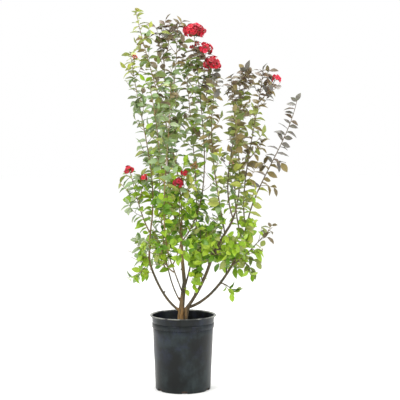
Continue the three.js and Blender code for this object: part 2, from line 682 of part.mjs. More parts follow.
/** The pot with its mix, and the plant that stands in it. */
function build() {
  const potted = new THREE.Group();
  potted.add(named('pot', pot(), potPlastic()));
  potted.add(named('potting_mix', mixFill(), pottingMix()));
  const plant = new THREE.Group();
  plant.position.z = SOIL_LEVEL;
  potted.add(plant);
  const limbs = limbCurves();
  const cleared = {};
  for (const name of Object.keys(limbs)) cleared[name] = limbSolid(name, limbs[name], GAP);
  addLimbs(plant, limbs, cleared);
  addMasses(plant, limbs, cleared);
  return potted;
}

export default build();
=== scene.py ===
"""The looks of a crape myrtle shrub in a black nursery pot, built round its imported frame.

Metres, +Z up and the front towards -Y, with the origin in the middle of the pot's underside.
Heights of the plant are measured from the soil level, which the frame gives.
"""
from __future__ import annotations

import json
import logging
import math
from dataclasses import dataclass, field
from enum import Enum
from typing import Callable, Iterator, Sequence

import bmesh
import bpy
import numpy as np
from mathutils import Matrix, Quaternion, Vector, kdtree, noise


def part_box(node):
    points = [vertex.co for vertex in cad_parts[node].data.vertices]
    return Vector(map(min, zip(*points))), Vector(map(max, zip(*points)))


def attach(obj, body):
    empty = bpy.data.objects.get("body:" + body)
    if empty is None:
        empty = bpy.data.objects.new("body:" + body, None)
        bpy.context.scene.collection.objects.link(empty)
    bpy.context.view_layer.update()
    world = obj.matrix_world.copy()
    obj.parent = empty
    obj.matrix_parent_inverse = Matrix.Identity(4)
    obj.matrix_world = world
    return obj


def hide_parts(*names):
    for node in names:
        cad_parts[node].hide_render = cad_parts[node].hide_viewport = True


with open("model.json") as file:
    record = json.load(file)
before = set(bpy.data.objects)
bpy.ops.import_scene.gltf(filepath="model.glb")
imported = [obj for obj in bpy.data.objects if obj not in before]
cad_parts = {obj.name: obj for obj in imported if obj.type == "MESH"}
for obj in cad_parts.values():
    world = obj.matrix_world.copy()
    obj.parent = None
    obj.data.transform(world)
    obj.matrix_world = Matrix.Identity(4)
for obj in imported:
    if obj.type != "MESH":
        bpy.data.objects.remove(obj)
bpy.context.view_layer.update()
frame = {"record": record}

LOG = logging.getLogger("potted_shrub")
BODY = "root"
MM = 0.001
UP = Vector((0.0, 0.0, 1.0))
OPEN_FACE = Vector((0.0, -0.6, 1.0))
STEEP = 0.9
GOLDEN_ANGLE = math.pi * (3.0 - math.sqrt(5.0))
FULL_TURN = 2.0 * math.pi
Colour = tuple[float, float, float, float]
Place = tuple[float, float, float]
Span = tuple[float, float]
Piece = bpy.types.Object
Material = bpy.types.Material


def linear(hexadecimal: str) -> Colour:
    """Gives a six-digit screen colour as the linear colour that a shader takes.

    Args:
        hexadecimal: Red, green and blue as two digits each.

    Returns:
        The linear colour with full alpha.
    """
    parts = [int(hexadecimal[start:start + 2], 16) / 255.0 for start in (0, 2, 4)]
    red, green, blue = (
        part / 12.92 if part <= 0.04045 else ((part + 0.055) / 1.055) ** 2.4 for part in parts)
    return (red, green, blue, 1.0)


# --- shader maths
class Level:
    """A number in a node tree, whose arithmetic adds Math nodes."""

    def __init__(self, board: NodeBoard, socket: bpy.types.NodeSocket) -> None:
        """Wraps an output socket of a board."""
        self.board = board
        self.socket = socket

    def _joined(self, operation: str, first: Level | float, second: Level | float) -> Level:
        """Adds one Math node on two values."""
        node = self.board.node("Math", {"operation": operation}, {0: first, 1: second})
        return Level(self.board, node.outputs[0])

    def __add__(self, other: Level | float) -> Level:
        """Adds."""
        return self._joined("ADD", self, other)

    __radd__ = __add__

    def __sub__(self, other: Level | float) -> Level:
        """Subtracts."""
        return self._joined("SUBTRACT", self, other)

    def __rsub__(self, other: Level | float) -> Level:
        """Subtracts from a number."""
        return self._joined("SUBTRACT", other, self)

    def __mul__(self, other: Level | float) -> Level:
        """Multiplies."""
        return self._joined("MULTIPLY", self, other)

    __rmul__ = __mul__

    def between(self, low: float, high: float) -> Level:
        """Rises smoothly from 0 at low to 1 at high.

        Args:
            low: The value that gives 0.
            high: The value that gives 1.

        Returns:
            The eased share.
        """
        node = self.board.node(
            "MapRange", {"interpolation_type": "SMOOTHSTEP", "clamp": True},
            {"Value": self, "From Min": low, "From Max": high})
        return Level(self.board, node.outputs["Result"])

    def band(self, rise: Span, fall: Span) -> Level:
        """Gives 1 between a rise and a fall, eased to 0 on either side."""
        return self.between(*rise) * (1.0 - self.between(*fall))


class NodeBoard:
    """A material's node tree, with one way to add a node."""

    def __init__(self, name: str) -> None:
        """Starts an empty material.

        Args:
            name: The material's name.
        """
        self.material = bpy.data.materials.new(name)
        self.material.use_nodes = True
        self.tree = self.material.node_tree
        self.tree.nodes.clear()

    def node(self, kind: str, settings: dict[str, object] | None = None,
             sockets: dict[str | int, object] | None = None) -> bpy.types.Node:
        """Adds a node, sets its own settings first and then its sockets.

        Args:
            kind: The node's type, without the ShaderNode prefix.
            settings: Its properties by name.
            sockets: Values, sockets or levels by socket name or number.

        Returns:
            The new node.
        """
        made = self.tree.nodes.new("ShaderNode" + kind)
        for name, value in (settings or {}).items():
            setattr(made, name, value)
        for key, value in (sockets or {}).items():
            source = value.socket if isinstance(value, Level) else value
            if isinstance(source, bpy.types.NodeSocket):
                self.tree.links.new(source, made.inputs[key])
            else:
                made.inputs[key].default_value = source
        return made

    def place(self, stretch: Place = (1.0, 1.0, 1.0)) -> bpy.types.NodeSocket:
        """Gives object coordinates, stretched along each axis."""
        coordinates = self.node("TexCoord").outputs["Object"]
        return self.node("Mapping", None, {"Vector": coordinates, "Scale": stretch}).outputs["Vector"]

    def axis(self, name: str) -> Level:
        """Gives the place along X, Y or Z, in metres."""
        parts = self.node("SeparateXYZ", None, {"Vector": self.place()})
        return Level(self, parts.outputs[name])

    def cloud(self, scale: float, detail: float = 4.0, stretch: Place = (1.0, 1.0, 1.0),
              rough: float = 0.5) -> Level:
        """Gives a soft noise from 0 to 1.

        Args:
            scale: Features in a metre.
            detail: Octaves.
            stretch: Scale along each axis.
            rough: How much the finer octaves count.

        Returns:
            The noise as a level.
        """
        made = self.node("TexNoise", None, {
            "Vector": self.place(stretch), "Scale": scale, "Detail": detail, "Roughness": rough})
        return Level(self, made.outputs[0])

    def mix(self, share: Level, first: object, second: object) -> bpy.types.NodeSocket:
        """Mixes two colours by a share."""
        made = self.node("Mix", {"data_type": "RGBA"}, {"Factor": share, 6: first, 7: second})
        return made.outputs[2]

    def relief(self, height: Level, depth: float, strength: float) -> bpy.types.NodeSocket:
        """Turns a level into bumps of a depth in metres."""
        made = self.node("Bump", None, {"Height": height, "Distance": depth, "Strength": strength})
        return made.outputs["Normal"]

    def surface(self, sockets: dict[str, object]) -> Material:
        """Closes the tree with a Principled shader and gives its material."""
        self.node("OutputMaterial", None,
                  {"Surface": self.node("BsdfPrincipled", None, sockets).outputs[0]})
        return self.material


# --- finishes
@dataclass(frozen=True)
class PotPlastic:
    """Black moulded plastic with a bluish bloom and cloudy with dust; its rim top is painted paler: a
    painted highlight, brightest at its left and right ends as seen from the front, mixed with patchy
    scuffing.
    """

    dark: str = "050909"
    pale: str = "10181a"
    dust: str = "434e4f"
    bloom: str = "1b2034"
    # The rim top's pale colour: a painted highlight mixed with scuffing.
    rim_highlight_and_scuff: str = "a2a29b"
    rim_top: float = 0.309
    rim_edge: Span = (0.0055, 0.0015)
    # Where the painted rim highlight is brightest, left and right of the middle as seen from the
    # front.
    rim_highlight_ends: Span = (0.085, 0.128)
    bloom_rise: Span = (0.06, 0.20)
    bloom_share: float = 0.6
    foot_rise: float = 0.05
    film_shares: Place = (0.16, 0.10, 0.06)
    # Shares of the rim's pale paint: patchy scuffing, all round, and painted highlight at the ends.
    rim_highlight_shares: Place = (0.6, 0.12, 0.5)
    roughness: float = 0.26
    relief: float = 0.0012
    refraction: float = 1.325

    def material(self) -> Material:
        """Makes the pot's material.

        Returns:
            The material.
        """
        board = NodeBoard("pot_plastic")
        cloud = board.cloud(9.0, 6.0, rough=0.62)
        blotch = board.cloud(17.0, 5.0, rough=0.7)
        streak = board.cloud(26.0, 3.0, (1.0, 1.0, 0.12))
        speck = board.cloud(420.0, 2.0)
        height = board.axis("Z")
        base = board.mix(cloud.between(0.42, 0.60), linear(self.dark), linear(self.pale))
        high = height.between(*self.bloom_rise)
        bloom = board.mix(blotch.between(0.44, 0.66) * high * self.bloom_share,
                          base, linear(self.bloom))
        low = 1.0 - height.between(0.0, self.foot_rise)
        clouds, streaks, foot = self.film_shares
        film = cloud.between(0.5, 0.66) * clouds + streak.between(0.5, 0.7) * streaks + low * foot
        dusty = board.mix(film, bloom, linear(self.dust))
        across = board.axis("X")
        # The rim top is painted paler: a painted highlight, brightest at the left and right ends as
        # seen from the front, mixed with patchy scuffing.
        near, far = self.rim_highlight_ends
        ends = across.between(near, far) + across.between(-near, -far)
        edge = height.between(*(self.rim_top - depth for depth in self.rim_edge))
        patchy, everywhere, at_ends = self.rim_highlight_shares
        rim_patches = board.cloud(38.0, 4.0).between(0.42, 0.62)
        rim_highlight_and_wear = edge * (rim_patches * patchy + everywhere + ends * at_ends)
        coloured = board.mix(rim_highlight_and_wear, dusty, linear(self.rim_highlight_and_scuff))
        roughness = self.roughness + cloud * 0.14 + film * 0.4
        relief = board.relief(speck * 0.2 + blotch * 0.8, self.relief, 0.5)
        return board.surface({"Base Color": coloured, "Roughness": roughness, "Normal": relief,
                              "IOR": self.refraction})


@dataclass(frozen=True)
class MixFinish:
    """Dark composted bark and peat, damp in the hollows."""

    name: str = "potting_mix"
    dark: str = "1f1712"
    pale: str = "4d3a2c"
    roughness: float = 0.9
    damp_gloss: float = 0.2
    relief: float = 0.0015

    def material(self) -> Material:
        """Makes the mix's material.

        Returns:
            The material.
        """
        board = NodeBoard(self.name)
        crumb = board.cloud(160.0, 6.0, rough=0.7)
        fibre = board.cloud(90.0, 3.0, (1.0, 4.0, 1.0))
        tone = crumb.between(0.35, 0.7) * 0.7 + fibre.between(0.5, 0.75) * 0.3
        colour = board.mix(tone, linear(self.dark), linear(self.pale))
        roughness = self.roughness - crumb * self.damp_gloss
        return board.surface({"Base Color": colour, "Roughness": roughness,
                              "Normal": board.relief(crumb, self.relief, 0.8)})


@dataclass(frozen=True)
class BarkFinish:
    """Thin bark: warm brown, grey where it is older and tan where strips have flaked off, with painted
    shade in the crease where the second stem meets the trunk near the soil.
    """

    name: str = "bark"
    brown: str = "51432c"
    grey: str = "454133"
    tan: str = "655843"
    # Dark colour of the painted shade in the crease by the second stem, and of the bark's cracks.
    shade: str = "221d15"
    foot: str = "9c7540"
    aloft: str = "95794a"
    foot_rise: Span = (0.272, 0.450)
    aloft_rise: Span = (0.450, 0.560)
    inner: tuple[Span, Span] = ((-0.034, -0.020), (0.004, 0.022))
    # Where the painted crease shade lies, between the trunk and the second stem.
    crease_shade: tuple[Span, Span] = ((-0.001, 0.003), (0.006, 0.013))
    right: Span = (0.03, 0.09)
    aloft_shares: Span = (0.75, 0.6)
    flake: Span = (0.52, 0.6)
    flake_share: float = 0.85
    foot_shares: Span = (0.8, 0.14)
    crease_shade_share: float = 0.9
    crack_share: float = 0.7
    relief: float = 0.0009

    def material(self) -> Material:
        """Makes the bark's material.

        Returns:
            The material.
        """
        board = NodeBoard(self.name)
        strips = board.cloud(95.0, 5.0, (1.0, 1.0, 0.22), 0.6)
        patches = board.cloud(34.0, 3.0, (1.0, 1.0, 0.4))
        cracks = board.cloud(240.0, 4.0, (1.0, 1.0, 0.1), 0.7)
        across = board.axis("X")
        low = 1.0 - board.axis("Z").between(*self.foot_rise)
        old = low * across.band(*self.inner)
        clouded = board.mix(patches.between(0.38, 0.64), linear(self.brown), linear(self.grey))
        high = board.axis("Z").between(*self.aloft_rise)
        most, loss = self.aloft_shares
        ground = board.mix(high * (most - across.between(*self.right) * loss),
                           clouded, linear(self.aloft))
        flaked = board.mix(strips.between(*self.flake) * self.flake_share, ground, linear(self.tan))
        streaky, even = self.foot_shares
        warmed = board.mix(old * (strips.between(0.40, 0.58) * streaky + even),
                           flaked, linear(self.foot))
        # Painted shade: darkens the crease between the trunk and the second stem near the soil.
        crease_shade = across.band(*self.crease_shade) * low
        crease_shaded = board.mix(crease_shade * patches.between(0.25, 0.5) * self.crease_shade_share,
                            warmed, linear(self.shade))
        lined = board.mix(cracks.between(0.56, 0.7) * self.crack_share, crease_shaded, linear(self.shade))
        height = strips.between(*self.flake[::-1]) * 0.5 - cracks.between(0.5, 0.7) * 0.4
        return board.surface({"Base Color": lined, "Roughness": 0.66 + strips * 0.22,
                              "Normal": board.relief(height + patches * 0.3, self.relief, 0.8)})


@dataclass(frozen=True)
class PlainFinish:
    """One plain colour all over, for the many small pieces whose colours are dealt out."""

    name: str
    colour: str
    roughness: float = 0.5
    glow_through: float = 0.0
    glow_depth: float = 0.0016
    glow_spread: Place = (0.7, 1.0, 0.3)
    shine: float = 0.5

    def material(self) -> Material:
        """Makes the plain material."""
        return NodeBoard(self.name).surface({
            "Base Color": linear(self.colour), "Roughness": self.roughness,
            "Subsurface Weight": self.glow_through, "Subsurface Scale": self.glow_depth,
            "Subsurface Radius": self.glow_spread, "Specular IOR Level": self.shine})


class LeafTone(Enum):
    """The colours of leaves: upper face, paler underside and the record's slot for them."""

    LIME = ("98b032", "acbe62", "lime")
    FRESH = ("92b030", "a9bc62", "fresh")
    MEADOW = ("7a9a26", "94ac56", "fresh")
    DEEP = ("567c18", "7c984c", "fresh")
    GREY = ("95a37c", "a9b390", "grey")
    SAGE = ("829866", "9bab7e", "grey")
    OLIVE = ("89924c", "9ea26c", "olive")
    MOSS = ("6c7b40", "8a9264", "olive")
    BRONZE = ("84764c", "9a9068", "bronze")
    UMBER = ("6e6248", "887e64", "bronze")
    PLUM = ("70604f", "8a7e6e", "bronze")
    DUSK = ("706c64", "8e8a84", "bronze")
    GOLD = ("9fa64c", "abaf70", "lime")
    STRAW = ("a89e62", "b4aa80", "lime")

    def finish(self, under: bool) -> PlainFinish:
        """Gives the finish of one face of the leaf."""
        side, roughness = ("under", 0.62) if under else ("upper", 0.36)
        return PlainFinish(f"leaf_{self.name.lower()}_{side}", self.value[int(under)], roughness,
                           glow_through=0.2, shine=0.28)


# --- modelling bench
@dataclass
class Pattern:
    """One modelled shape as arrays, ready to be copied many times."""

    points: np.ndarray
    corners: np.ndarray
    starts: np.ndarray
    shades: np.ndarray

    @staticmethod
    def of(piece: Piece) -> Pattern:
        """Reads a modelled piece and removes it from the scene.

        Args:
            piece: The finished mesh object.

        Returns:
            Its pattern.
        """
        mesh = piece.data
        points = np.array([vertex.co for vertex in mesh.vertices])
        corners = np.array([loop.vertex_index for loop in mesh.loops])
        starts = np.array([polygon.loop_start for polygon in mesh.polygons])
        shades = np.array([polygon.material_index for polygon in mesh.polygons])
        bpy.data.objects.remove(piece)
        return Pattern(points, corners, starts, shades)

    @staticmethod
    def joined(patterns: Sequence[Pattern]) -> Pattern:
        """Puts several patterns into one.

        Args:
            patterns: The patterns in order.

        Returns:
            All of them as one.
        """
        points, corners, starts, shades = [], [], [], []
        point_count = corner_count = 0
        for pattern in patterns:
            points.append(pattern.points)
            corners.append(pattern.corners + point_count)
            starts.append(pattern.starts + corner_count)
            shades.append(pattern.shades)
            point_count += len(pattern.points)
            corner_count += len(pattern.corners)
        return Pattern(np.concatenate(points), np.concatenate(corners),
                       np.concatenate(starts), np.concatenate(shades))

    def moved(self, matrix: Matrix) -> Pattern:
        """Gives a copy moved by a matrix."""
        points = self.points @ np.array(matrix.to_3x3()).T + np.array(matrix.translation)
        return Pattern(points, self.corners, self.starts, self.shades)


class Bench:
    """Modelling by operators, as by hand, with everything deselected first."""

    ROW = 0.01

    @staticmethod
    def clear() -> None:
        """Deselects every object."""
        if bpy.context.object and bpy.context.object.mode != "OBJECT":
            bpy.ops.object.mode_set(mode="OBJECT")
        bpy.ops.object.select_all(action="DESELECT")

    @staticmethod
    def active() -> Piece:
        """Gives the object in hand."""
        return bpy.context.view_layer.objects.active

    @staticmethod
    def take(*pieces: Piece) -> None:
        """Selects some objects alone and takes the first one in hand.

        Args:
            pieces: The objects.
        """
        Bench.clear()
        for piece in pieces:
            piece.select_set(True)
        bpy.context.view_layer.objects.active = pieces[0]

    @staticmethod
    def edit() -> None:
        """Opens the object in hand for editing, all of it selected."""
        bpy.ops.object.mode_set(mode="EDIT")
        bpy.ops.mesh.select_mode(type="VERT")
        bpy.ops.mesh.select_all(action="SELECT")

    @staticmethod
    def done() -> Piece:
        """Closes the edit and gives the object."""
        bpy.ops.object.mode_set(mode="OBJECT")
        return Bench.active()

    @staticmethod
    def pick(test: Callable[[Vector], bool]) -> None:
        """Selects only the points that pass a test.

        Args:
            test: Tells for a point's place whether it is selected.
        """
        bpy.ops.mesh.select_all(action="DESELECT")
        mesh = bmesh.from_edit_mesh(Bench.active().data)
        for vertex in mesh.verts:
            vertex.select = test(vertex.co)
        mesh.select_flush(True)
        bmesh.update_edit_mesh(Bench.active().data)

    @staticmethod
    def grid(rows: int, columns: int) -> None:
        """Adds a flat grid of unit length, from the origin towards +X, and opens it.

        Args:
            rows: Cells along it.
            columns: Cells across it.
        """
        Bench.clear()
        bpy.ops.mesh.primitive_grid_add(x_subdivisions=rows, y_subdivisions=columns, size=1.0)
        Bench.edit()
        bpy.ops.transform.translate(value=(0.5, 0.0, 0.0))

    @staticmethod
    def pick_row(share: float) -> None:
        """Selects the points at a share of a form of unit length."""
        Bench.pick(lambda place: abs(place.x - share) < Bench.ROW)

    @staticmethod
    def turn(stations: Sequence[Span], sides: int) -> Piece:
        """Draws a closed round body up through its stations by extruding and resizing a disc.

        Args:
            stations: Radius and height of each ring; the last ring's disc closes the body.
            sides: Points in a ring.

        Returns:
            The body, out of edit mode.
        """
        Bench.clear()
        radius, height = stations[0]
        bpy.ops.mesh.primitive_circle_add(
            vertices=sides, radius=radius, fill_type="NGON", location=(0.0, 0.0, 0.0))
        Bench.edit()
        bpy.ops.transform.translate(value=(0.0, 0.0, height))
        for next_radius, next_height in stations[1:]:
            bpy.ops.mesh.extrude_region_move(
                TRANSFORM_OT_translate={"value": (0.0, 0.0, next_height - height)})
            share = next_radius / radius
            bpy.ops.transform.resize(value=(share, share, 1.0),
                                     center_override=(0.0, 0.0, next_height))
            radius, height = next_radius, next_height
        bpy.ops.mesh.select_all(action="SELECT")
        bpy.ops.mesh.normals_make_consistent(inside=False)
        return Bench.done()

    @staticmethod
    def modify(piece: Piece, kind: str, **settings: object) -> None:
        """Adds a modifier, sets it and applies it.

        Args:
            piece: The object.
            kind: The modifier's type.
            settings: Its properties by name.
        """
        bpy.context.view_layer.objects.active = piece
        modifier = piece.modifiers.new(kind.lower(), kind)
        for name, value in settings.items():
            setattr(modifier, name, value)
        bpy.ops.object.modifier_apply(modifier=modifier.name)

    @staticmethod
    def smooth(piece: Piece, degrees: float) -> None:
        """Shades a piece smooth, but not over edges sharper than an angle."""
        Bench.take(piece)
        bpy.ops.object.shade_smooth_by_angle(angle=math.radians(degrees))

    @staticmethod
    def from_pattern(pattern: Pattern) -> Piece:
        """Makes a mesh object of a pattern.

        Args:
            pattern: Its shape.

        Returns:
            The object, in the scene.
        """
        mesh = bpy.data.meshes.new("piece")
        mesh.vertices.add(len(pattern.points))
        mesh.vertices.foreach_set("co", pattern.points.astype(np.float32).ravel())
        mesh.loops.add(len(pattern.corners))
        mesh.loops.foreach_set("vertex_index", pattern.corners.astype(np.int32))
        mesh.polygons.add(len(pattern.starts))
        mesh.polygons.foreach_set("loop_start", pattern.starts.astype(np.int32))
        mesh.polygons.foreach_set("material_index", pattern.shades.astype(np.int32))
        mesh.update(calc_edges=True)
        mesh.validate()
        piece = bpy.data.objects.new("piece", mesh)
        bpy.context.scene.collection.objects.link(piece)
        return piece

    @staticmethod
    def hand_over(piece: Piece, name: str, slot: str,
                  materials: Sequence[Material], nodes: Sequence[str] = ()) -> None:
        """Names a finished piece, dresses it and gives it to the frame.

        Args:
            piece: The finished mesh object.
            name: Its name.
            slot: Not used.
            materials: Its materials in slot order.
            nodes: The frame's nodes that it stands for.
        """
        piece.name = name
        piece.data.name = name
        piece.data.materials.clear()
        for material in materials:
            piece.data.materials.append(material)
        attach(piece, BODY)
        if nodes:
            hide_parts(*nodes)
        piece.data.calc_loop_triangles()
        LOG.info("%s: %d triangles", name, len(piece.data.loop_triangles))

    @staticmethod
    def set_out(name: str, pattern: Pattern, crease: float, slot: str,
                materials: Sequence[Material], nodes: Sequence[str] = ()) -> None:
        """Makes a piece of a pattern, shades it smooth and gives it to the frame.

        Args:
            name: The piece's name.
            pattern: Its shape.
            crease: The angle in degrees past which an edge stays sharp.
            slot: The record's material slot, passed on to hand_over.
            materials: Its materials in slot order.
            nodes: The frame's nodes that it stands for.
        """
        piece = Bench.from_pattern(pattern)
        Bench.smooth(piece, crease)
        Bench.hand_over(piece, name, slot, materials, nodes)


# --- repeatable chance
class Stream:
    """A repeatable stream of numbers from 0 to 1."""

    MASK = 0xFFFFFFFF
    STEP = 0x6D2B79F5

    def __init__(self, seed: int) -> None:
        """Starts the stream at a seed."""
        self.state = seed & self.MASK

    def draw(self) -> float:
        """Gives the next number.

        Returns:
            A number from 0 up to 1.
        """
        self.state = (self.state + self.STEP) & self.MASK
        value = (self.state ^ (self.state >> 15)) * (self.state | 1) & self.MASK
        value ^= (value + ((value ^ (value >> 7)) * (value | 61) & self.MASK)) & self.MASK
        return ((value ^ (value >> 14)) & self.MASK) / 2 ** 32

    def spread(self, reach: float) -> float:
        """Gives a number from minus reach to reach."""
        return (self.draw() * 2.0 - 1.0) * reach

    def one_of(self, choices: Sequence[object]) -> object:
        """Picks one of several things."""
        return choices[int(self.draw() * len(choices))]


# --- curves
class Run:
    """A Bezier curve that is measured along its length."""

    DIVISIONS = 200
    STEP = 0.5 / DIVISIONS

    def __init__(self, *controls: Vector | Place) -> None:
        """Measures the curve of three or four control points.

        Args:
            controls: The points in order, over the soil.
        """
        self.controls = [Vector(control) for control in controls]
        shares = np.linspace(0.0, 1.0, self.DIVISIONS + 1)[:, None]
        layers = [np.array(control)[None, :] + shares * 0.0 for control in self.controls]
        while len(layers) > 1:
            layers = [one + (two - one) * shares for one, two in zip(layers, layers[1:])]
        self.points = layers[0]
        steps = np.linalg.norm(np.diff(self.points, axis=0), axis=1)
        self.lengths = np.concatenate([[0.0], np.cumsum(steps)])
        self.length = float(self.lengths[-1])

    def at(self, share: float) -> Vector:
        """Gives the point at a share of the length."""
        along = share * self.length
        return Vector([np.interp(along, self.lengths, self.points[:, axis]) for axis in range(3)])

    def heading(self, share: float) -> Vector:
        """Gives the unit direction at a share of the length."""
        low, high = max(0.0, share - self.STEP), min(1.0, share + self.STEP)
        return (self.at(high) - self.at(low)).normalized()

    def spaced(self, step: float) -> list[Vector]:
        """Gives points a step apart all along."""
        count = max(2, round(self.length / step))
        return [self.at(index / count) for index in range(count + 1)]


def sideways(axis: Vector, angle: float) -> Vector:
    """Gives a unit vector square to an axis, turned about it by an angle."""
    reference = Vector((1.0, 0.0, 0.0)) if abs(axis.z) > STEEP else UP
    return Quaternion(axis, angle) @ axis.cross(reference).normalized()


def leaning(axis: Vector, side: Vector, angle: float) -> Vector:
    """Gives the direction that leans from an axis towards a side by an angle."""
    return (axis * math.cos(angle) + side * math.sin(angle)).normalized()


def spiral(index: int, rise: float) -> Vector:
    """Gives one of many unit directions that are turned on by the golden angle.

    Args:
        index: Its number.
        rise: Its height, from -1 to 1.

    Returns:
        The direction.
    """
    spread = math.sqrt(max(0.0, 1.0 - rise * rise))
    turn = index * GOLDEN_ANGLE
    return Vector((spread * math.cos(turn), spread * math.sin(turn), rise))


def tree_of(points: Sequence[Vector]) -> kdtree.KDTree:
    """Makes a search tree.

    Args:
        points: The points that it holds.

    Returns:
        The tree.
    """
    tree = kdtree.KDTree(len(points))
    for index, point in enumerate(points):
        tree.insert(point, index)
    tree.balance()
    return tree


# --- the pot
@dataclass
class Pot:
    """A tall round nursery can with a flared rim, a plain collar over a bead and six drains."""

    height: float = 0.309
    rim_radius: float = 0.137
    rim_depth: float = 0.006
    lip: float = 0.0022
    collar_top: float = 0.1295
    collar_foot_radius: float = 0.127
    collar_foot: float = 0.256
    bead_height: float = 0.021
    bead_depth: float = 0.0014
    groove: float = 0.0008
    body_top: float = 0.125
    base_radius: float = 0.114
    chamfer: float = 0.003
    wall: float = 0.0022
    floor: float = 0.003
    sides: int = 120
    body_rings: int = 14
    drains: int = 6
    drain_turn: float = math.radians(4.0)
    drain_width: float = 0.024
    drain_height: float = 0.012
    drain_depth: float = 0.012
    drain_round: float = 0.003
    wave: float = 0.0005
    waves: Place = (14.0, 42.0, 11.0)
    crease: float = 34.0

    def stations(self) -> list[Span]:
        """Gives the rings of the wall: up the outside, over the rim and down the inside.

        Returns:
            The radius and height of each ring.
        """
        foot, top = self.collar_foot, self.collar_foot + self.bead_height
        low, high = self.chamfer * 1.6, foot - 0.003
        base, body, mouth, wall = self.base_radius, self.body_top, self.collar_top, self.wall
        collar, rim, height = self.collar_foot_radius, self.rim_radius, self.height
        rings = [(base - self.chamfer * 1.4, 0.0), (base - self.chamfer * 0.4, self.chamfer * 0.4)]
        for index in range(self.body_rings + 1):
            share = index / self.body_rings
            rings.append((base + (body - base) * share, low + (high - low) * share))
        bead = collar + self.bead_depth
        under = height - self.rim_depth
        beading = [
            (body - self.groove, foot - 0.0008), (body, foot + 0.0002),
            (bead - 0.0006, foot + 0.0010), (bead, foot + 0.0024), (bead, (foot + top) / 2.0),
            (bead, top - 0.0022), (bead - 0.0008, top - 0.0008), (collar - self.groove, top),
            (collar, top + 0.0016), ((collar + mouth) / 2.0, (top + under) / 2.0)]
        flare = [
            (mouth - 0.0004, under - 0.001), (mouth + 0.0014, under + 0.0018),
            (rim - self.lip, under + 0.0022), (rim - 0.001, under + 0.0004),
            (rim, under + 0.0012), (rim, height - 0.0016), (rim - 0.0008, height - 0.0004),
            (rim - 0.002, height), (mouth + 0.001, height - 0.0008)]
        inside = [
            (mouth - wall, height - 0.0035), (collar - wall, top), (body - wall, foot),
            (base + 0.004 - wall, height * 0.4), (base - wall, self.floor + 0.004),
            (base - wall - 0.003, self.floor)]
        return [*rings, *beading, *flare, *inside]

    def cut_drains(self, shell: Piece) -> None:
        """Cuts the drains through the corner of wall and floor.

        Args:
            shell: The can.
        """
        for drain in range(self.drains):
            angle = self.drain_turn - math.pi / 2.0 + drain / self.drains * FULL_TURN
            reach = self.base_radius
            Bench.clear()
            bpy.ops.mesh.primitive_cube_add(
                size=1.0, location=(reach * math.cos(angle), reach * math.sin(angle), 0.0),
                rotation=(0.0, 0.0, angle),
                scale=(self.drain_depth * 2.0, self.drain_width, self.drain_height * 2.0))
            bpy.ops.object.transform_apply(location=True, rotation=True, scale=True)
            cutter = Bench.active()
            Bench.edit()
            bpy.ops.mesh.bevel(offset=self.drain_round, segments=4, affect="EDGES")
            Bench.done()
            Bench.modify(shell, "BOOLEAN", operation="DIFFERENCE", object=cutter, solver="EXACT")
            bpy.data.objects.remove(cutter)

    def wear(self, shell: Piece) -> None:
        """Gives the thin wall the slight waves of a can that has been handled.

        Args:
            shell: The can.
        """
        wide, fine, tall = self.waves
        for vertex in shell.data.vertices:
            place = vertex.co
            outward = Vector((place.x, place.y, 0.0))
            if outward.length > self.base_radius * 0.9 and place.z > self.drain_height * 2.0:
                swell = noise.noise(place * wide) + 0.4 * noise.noise(place * fine)
                place += outward.normalized() * (swell * self.wave)
                place.z += noise.noise(outward * tall) * self.wave * place.z / self.height

    def build(self) -> None:
        """Models the can and hands it over."""
        shell = Bench.turn(self.stations(), self.sides)
        self.cut_drains(shell)
        self.wear(shell)
        Bench.smooth(shell, self.crease)
        finish = PotPlastic(rim_top=self.height)
        Bench.hand_over(shell, "nursery_pot", "pot_plastic", [finish.material()], ["pot"])


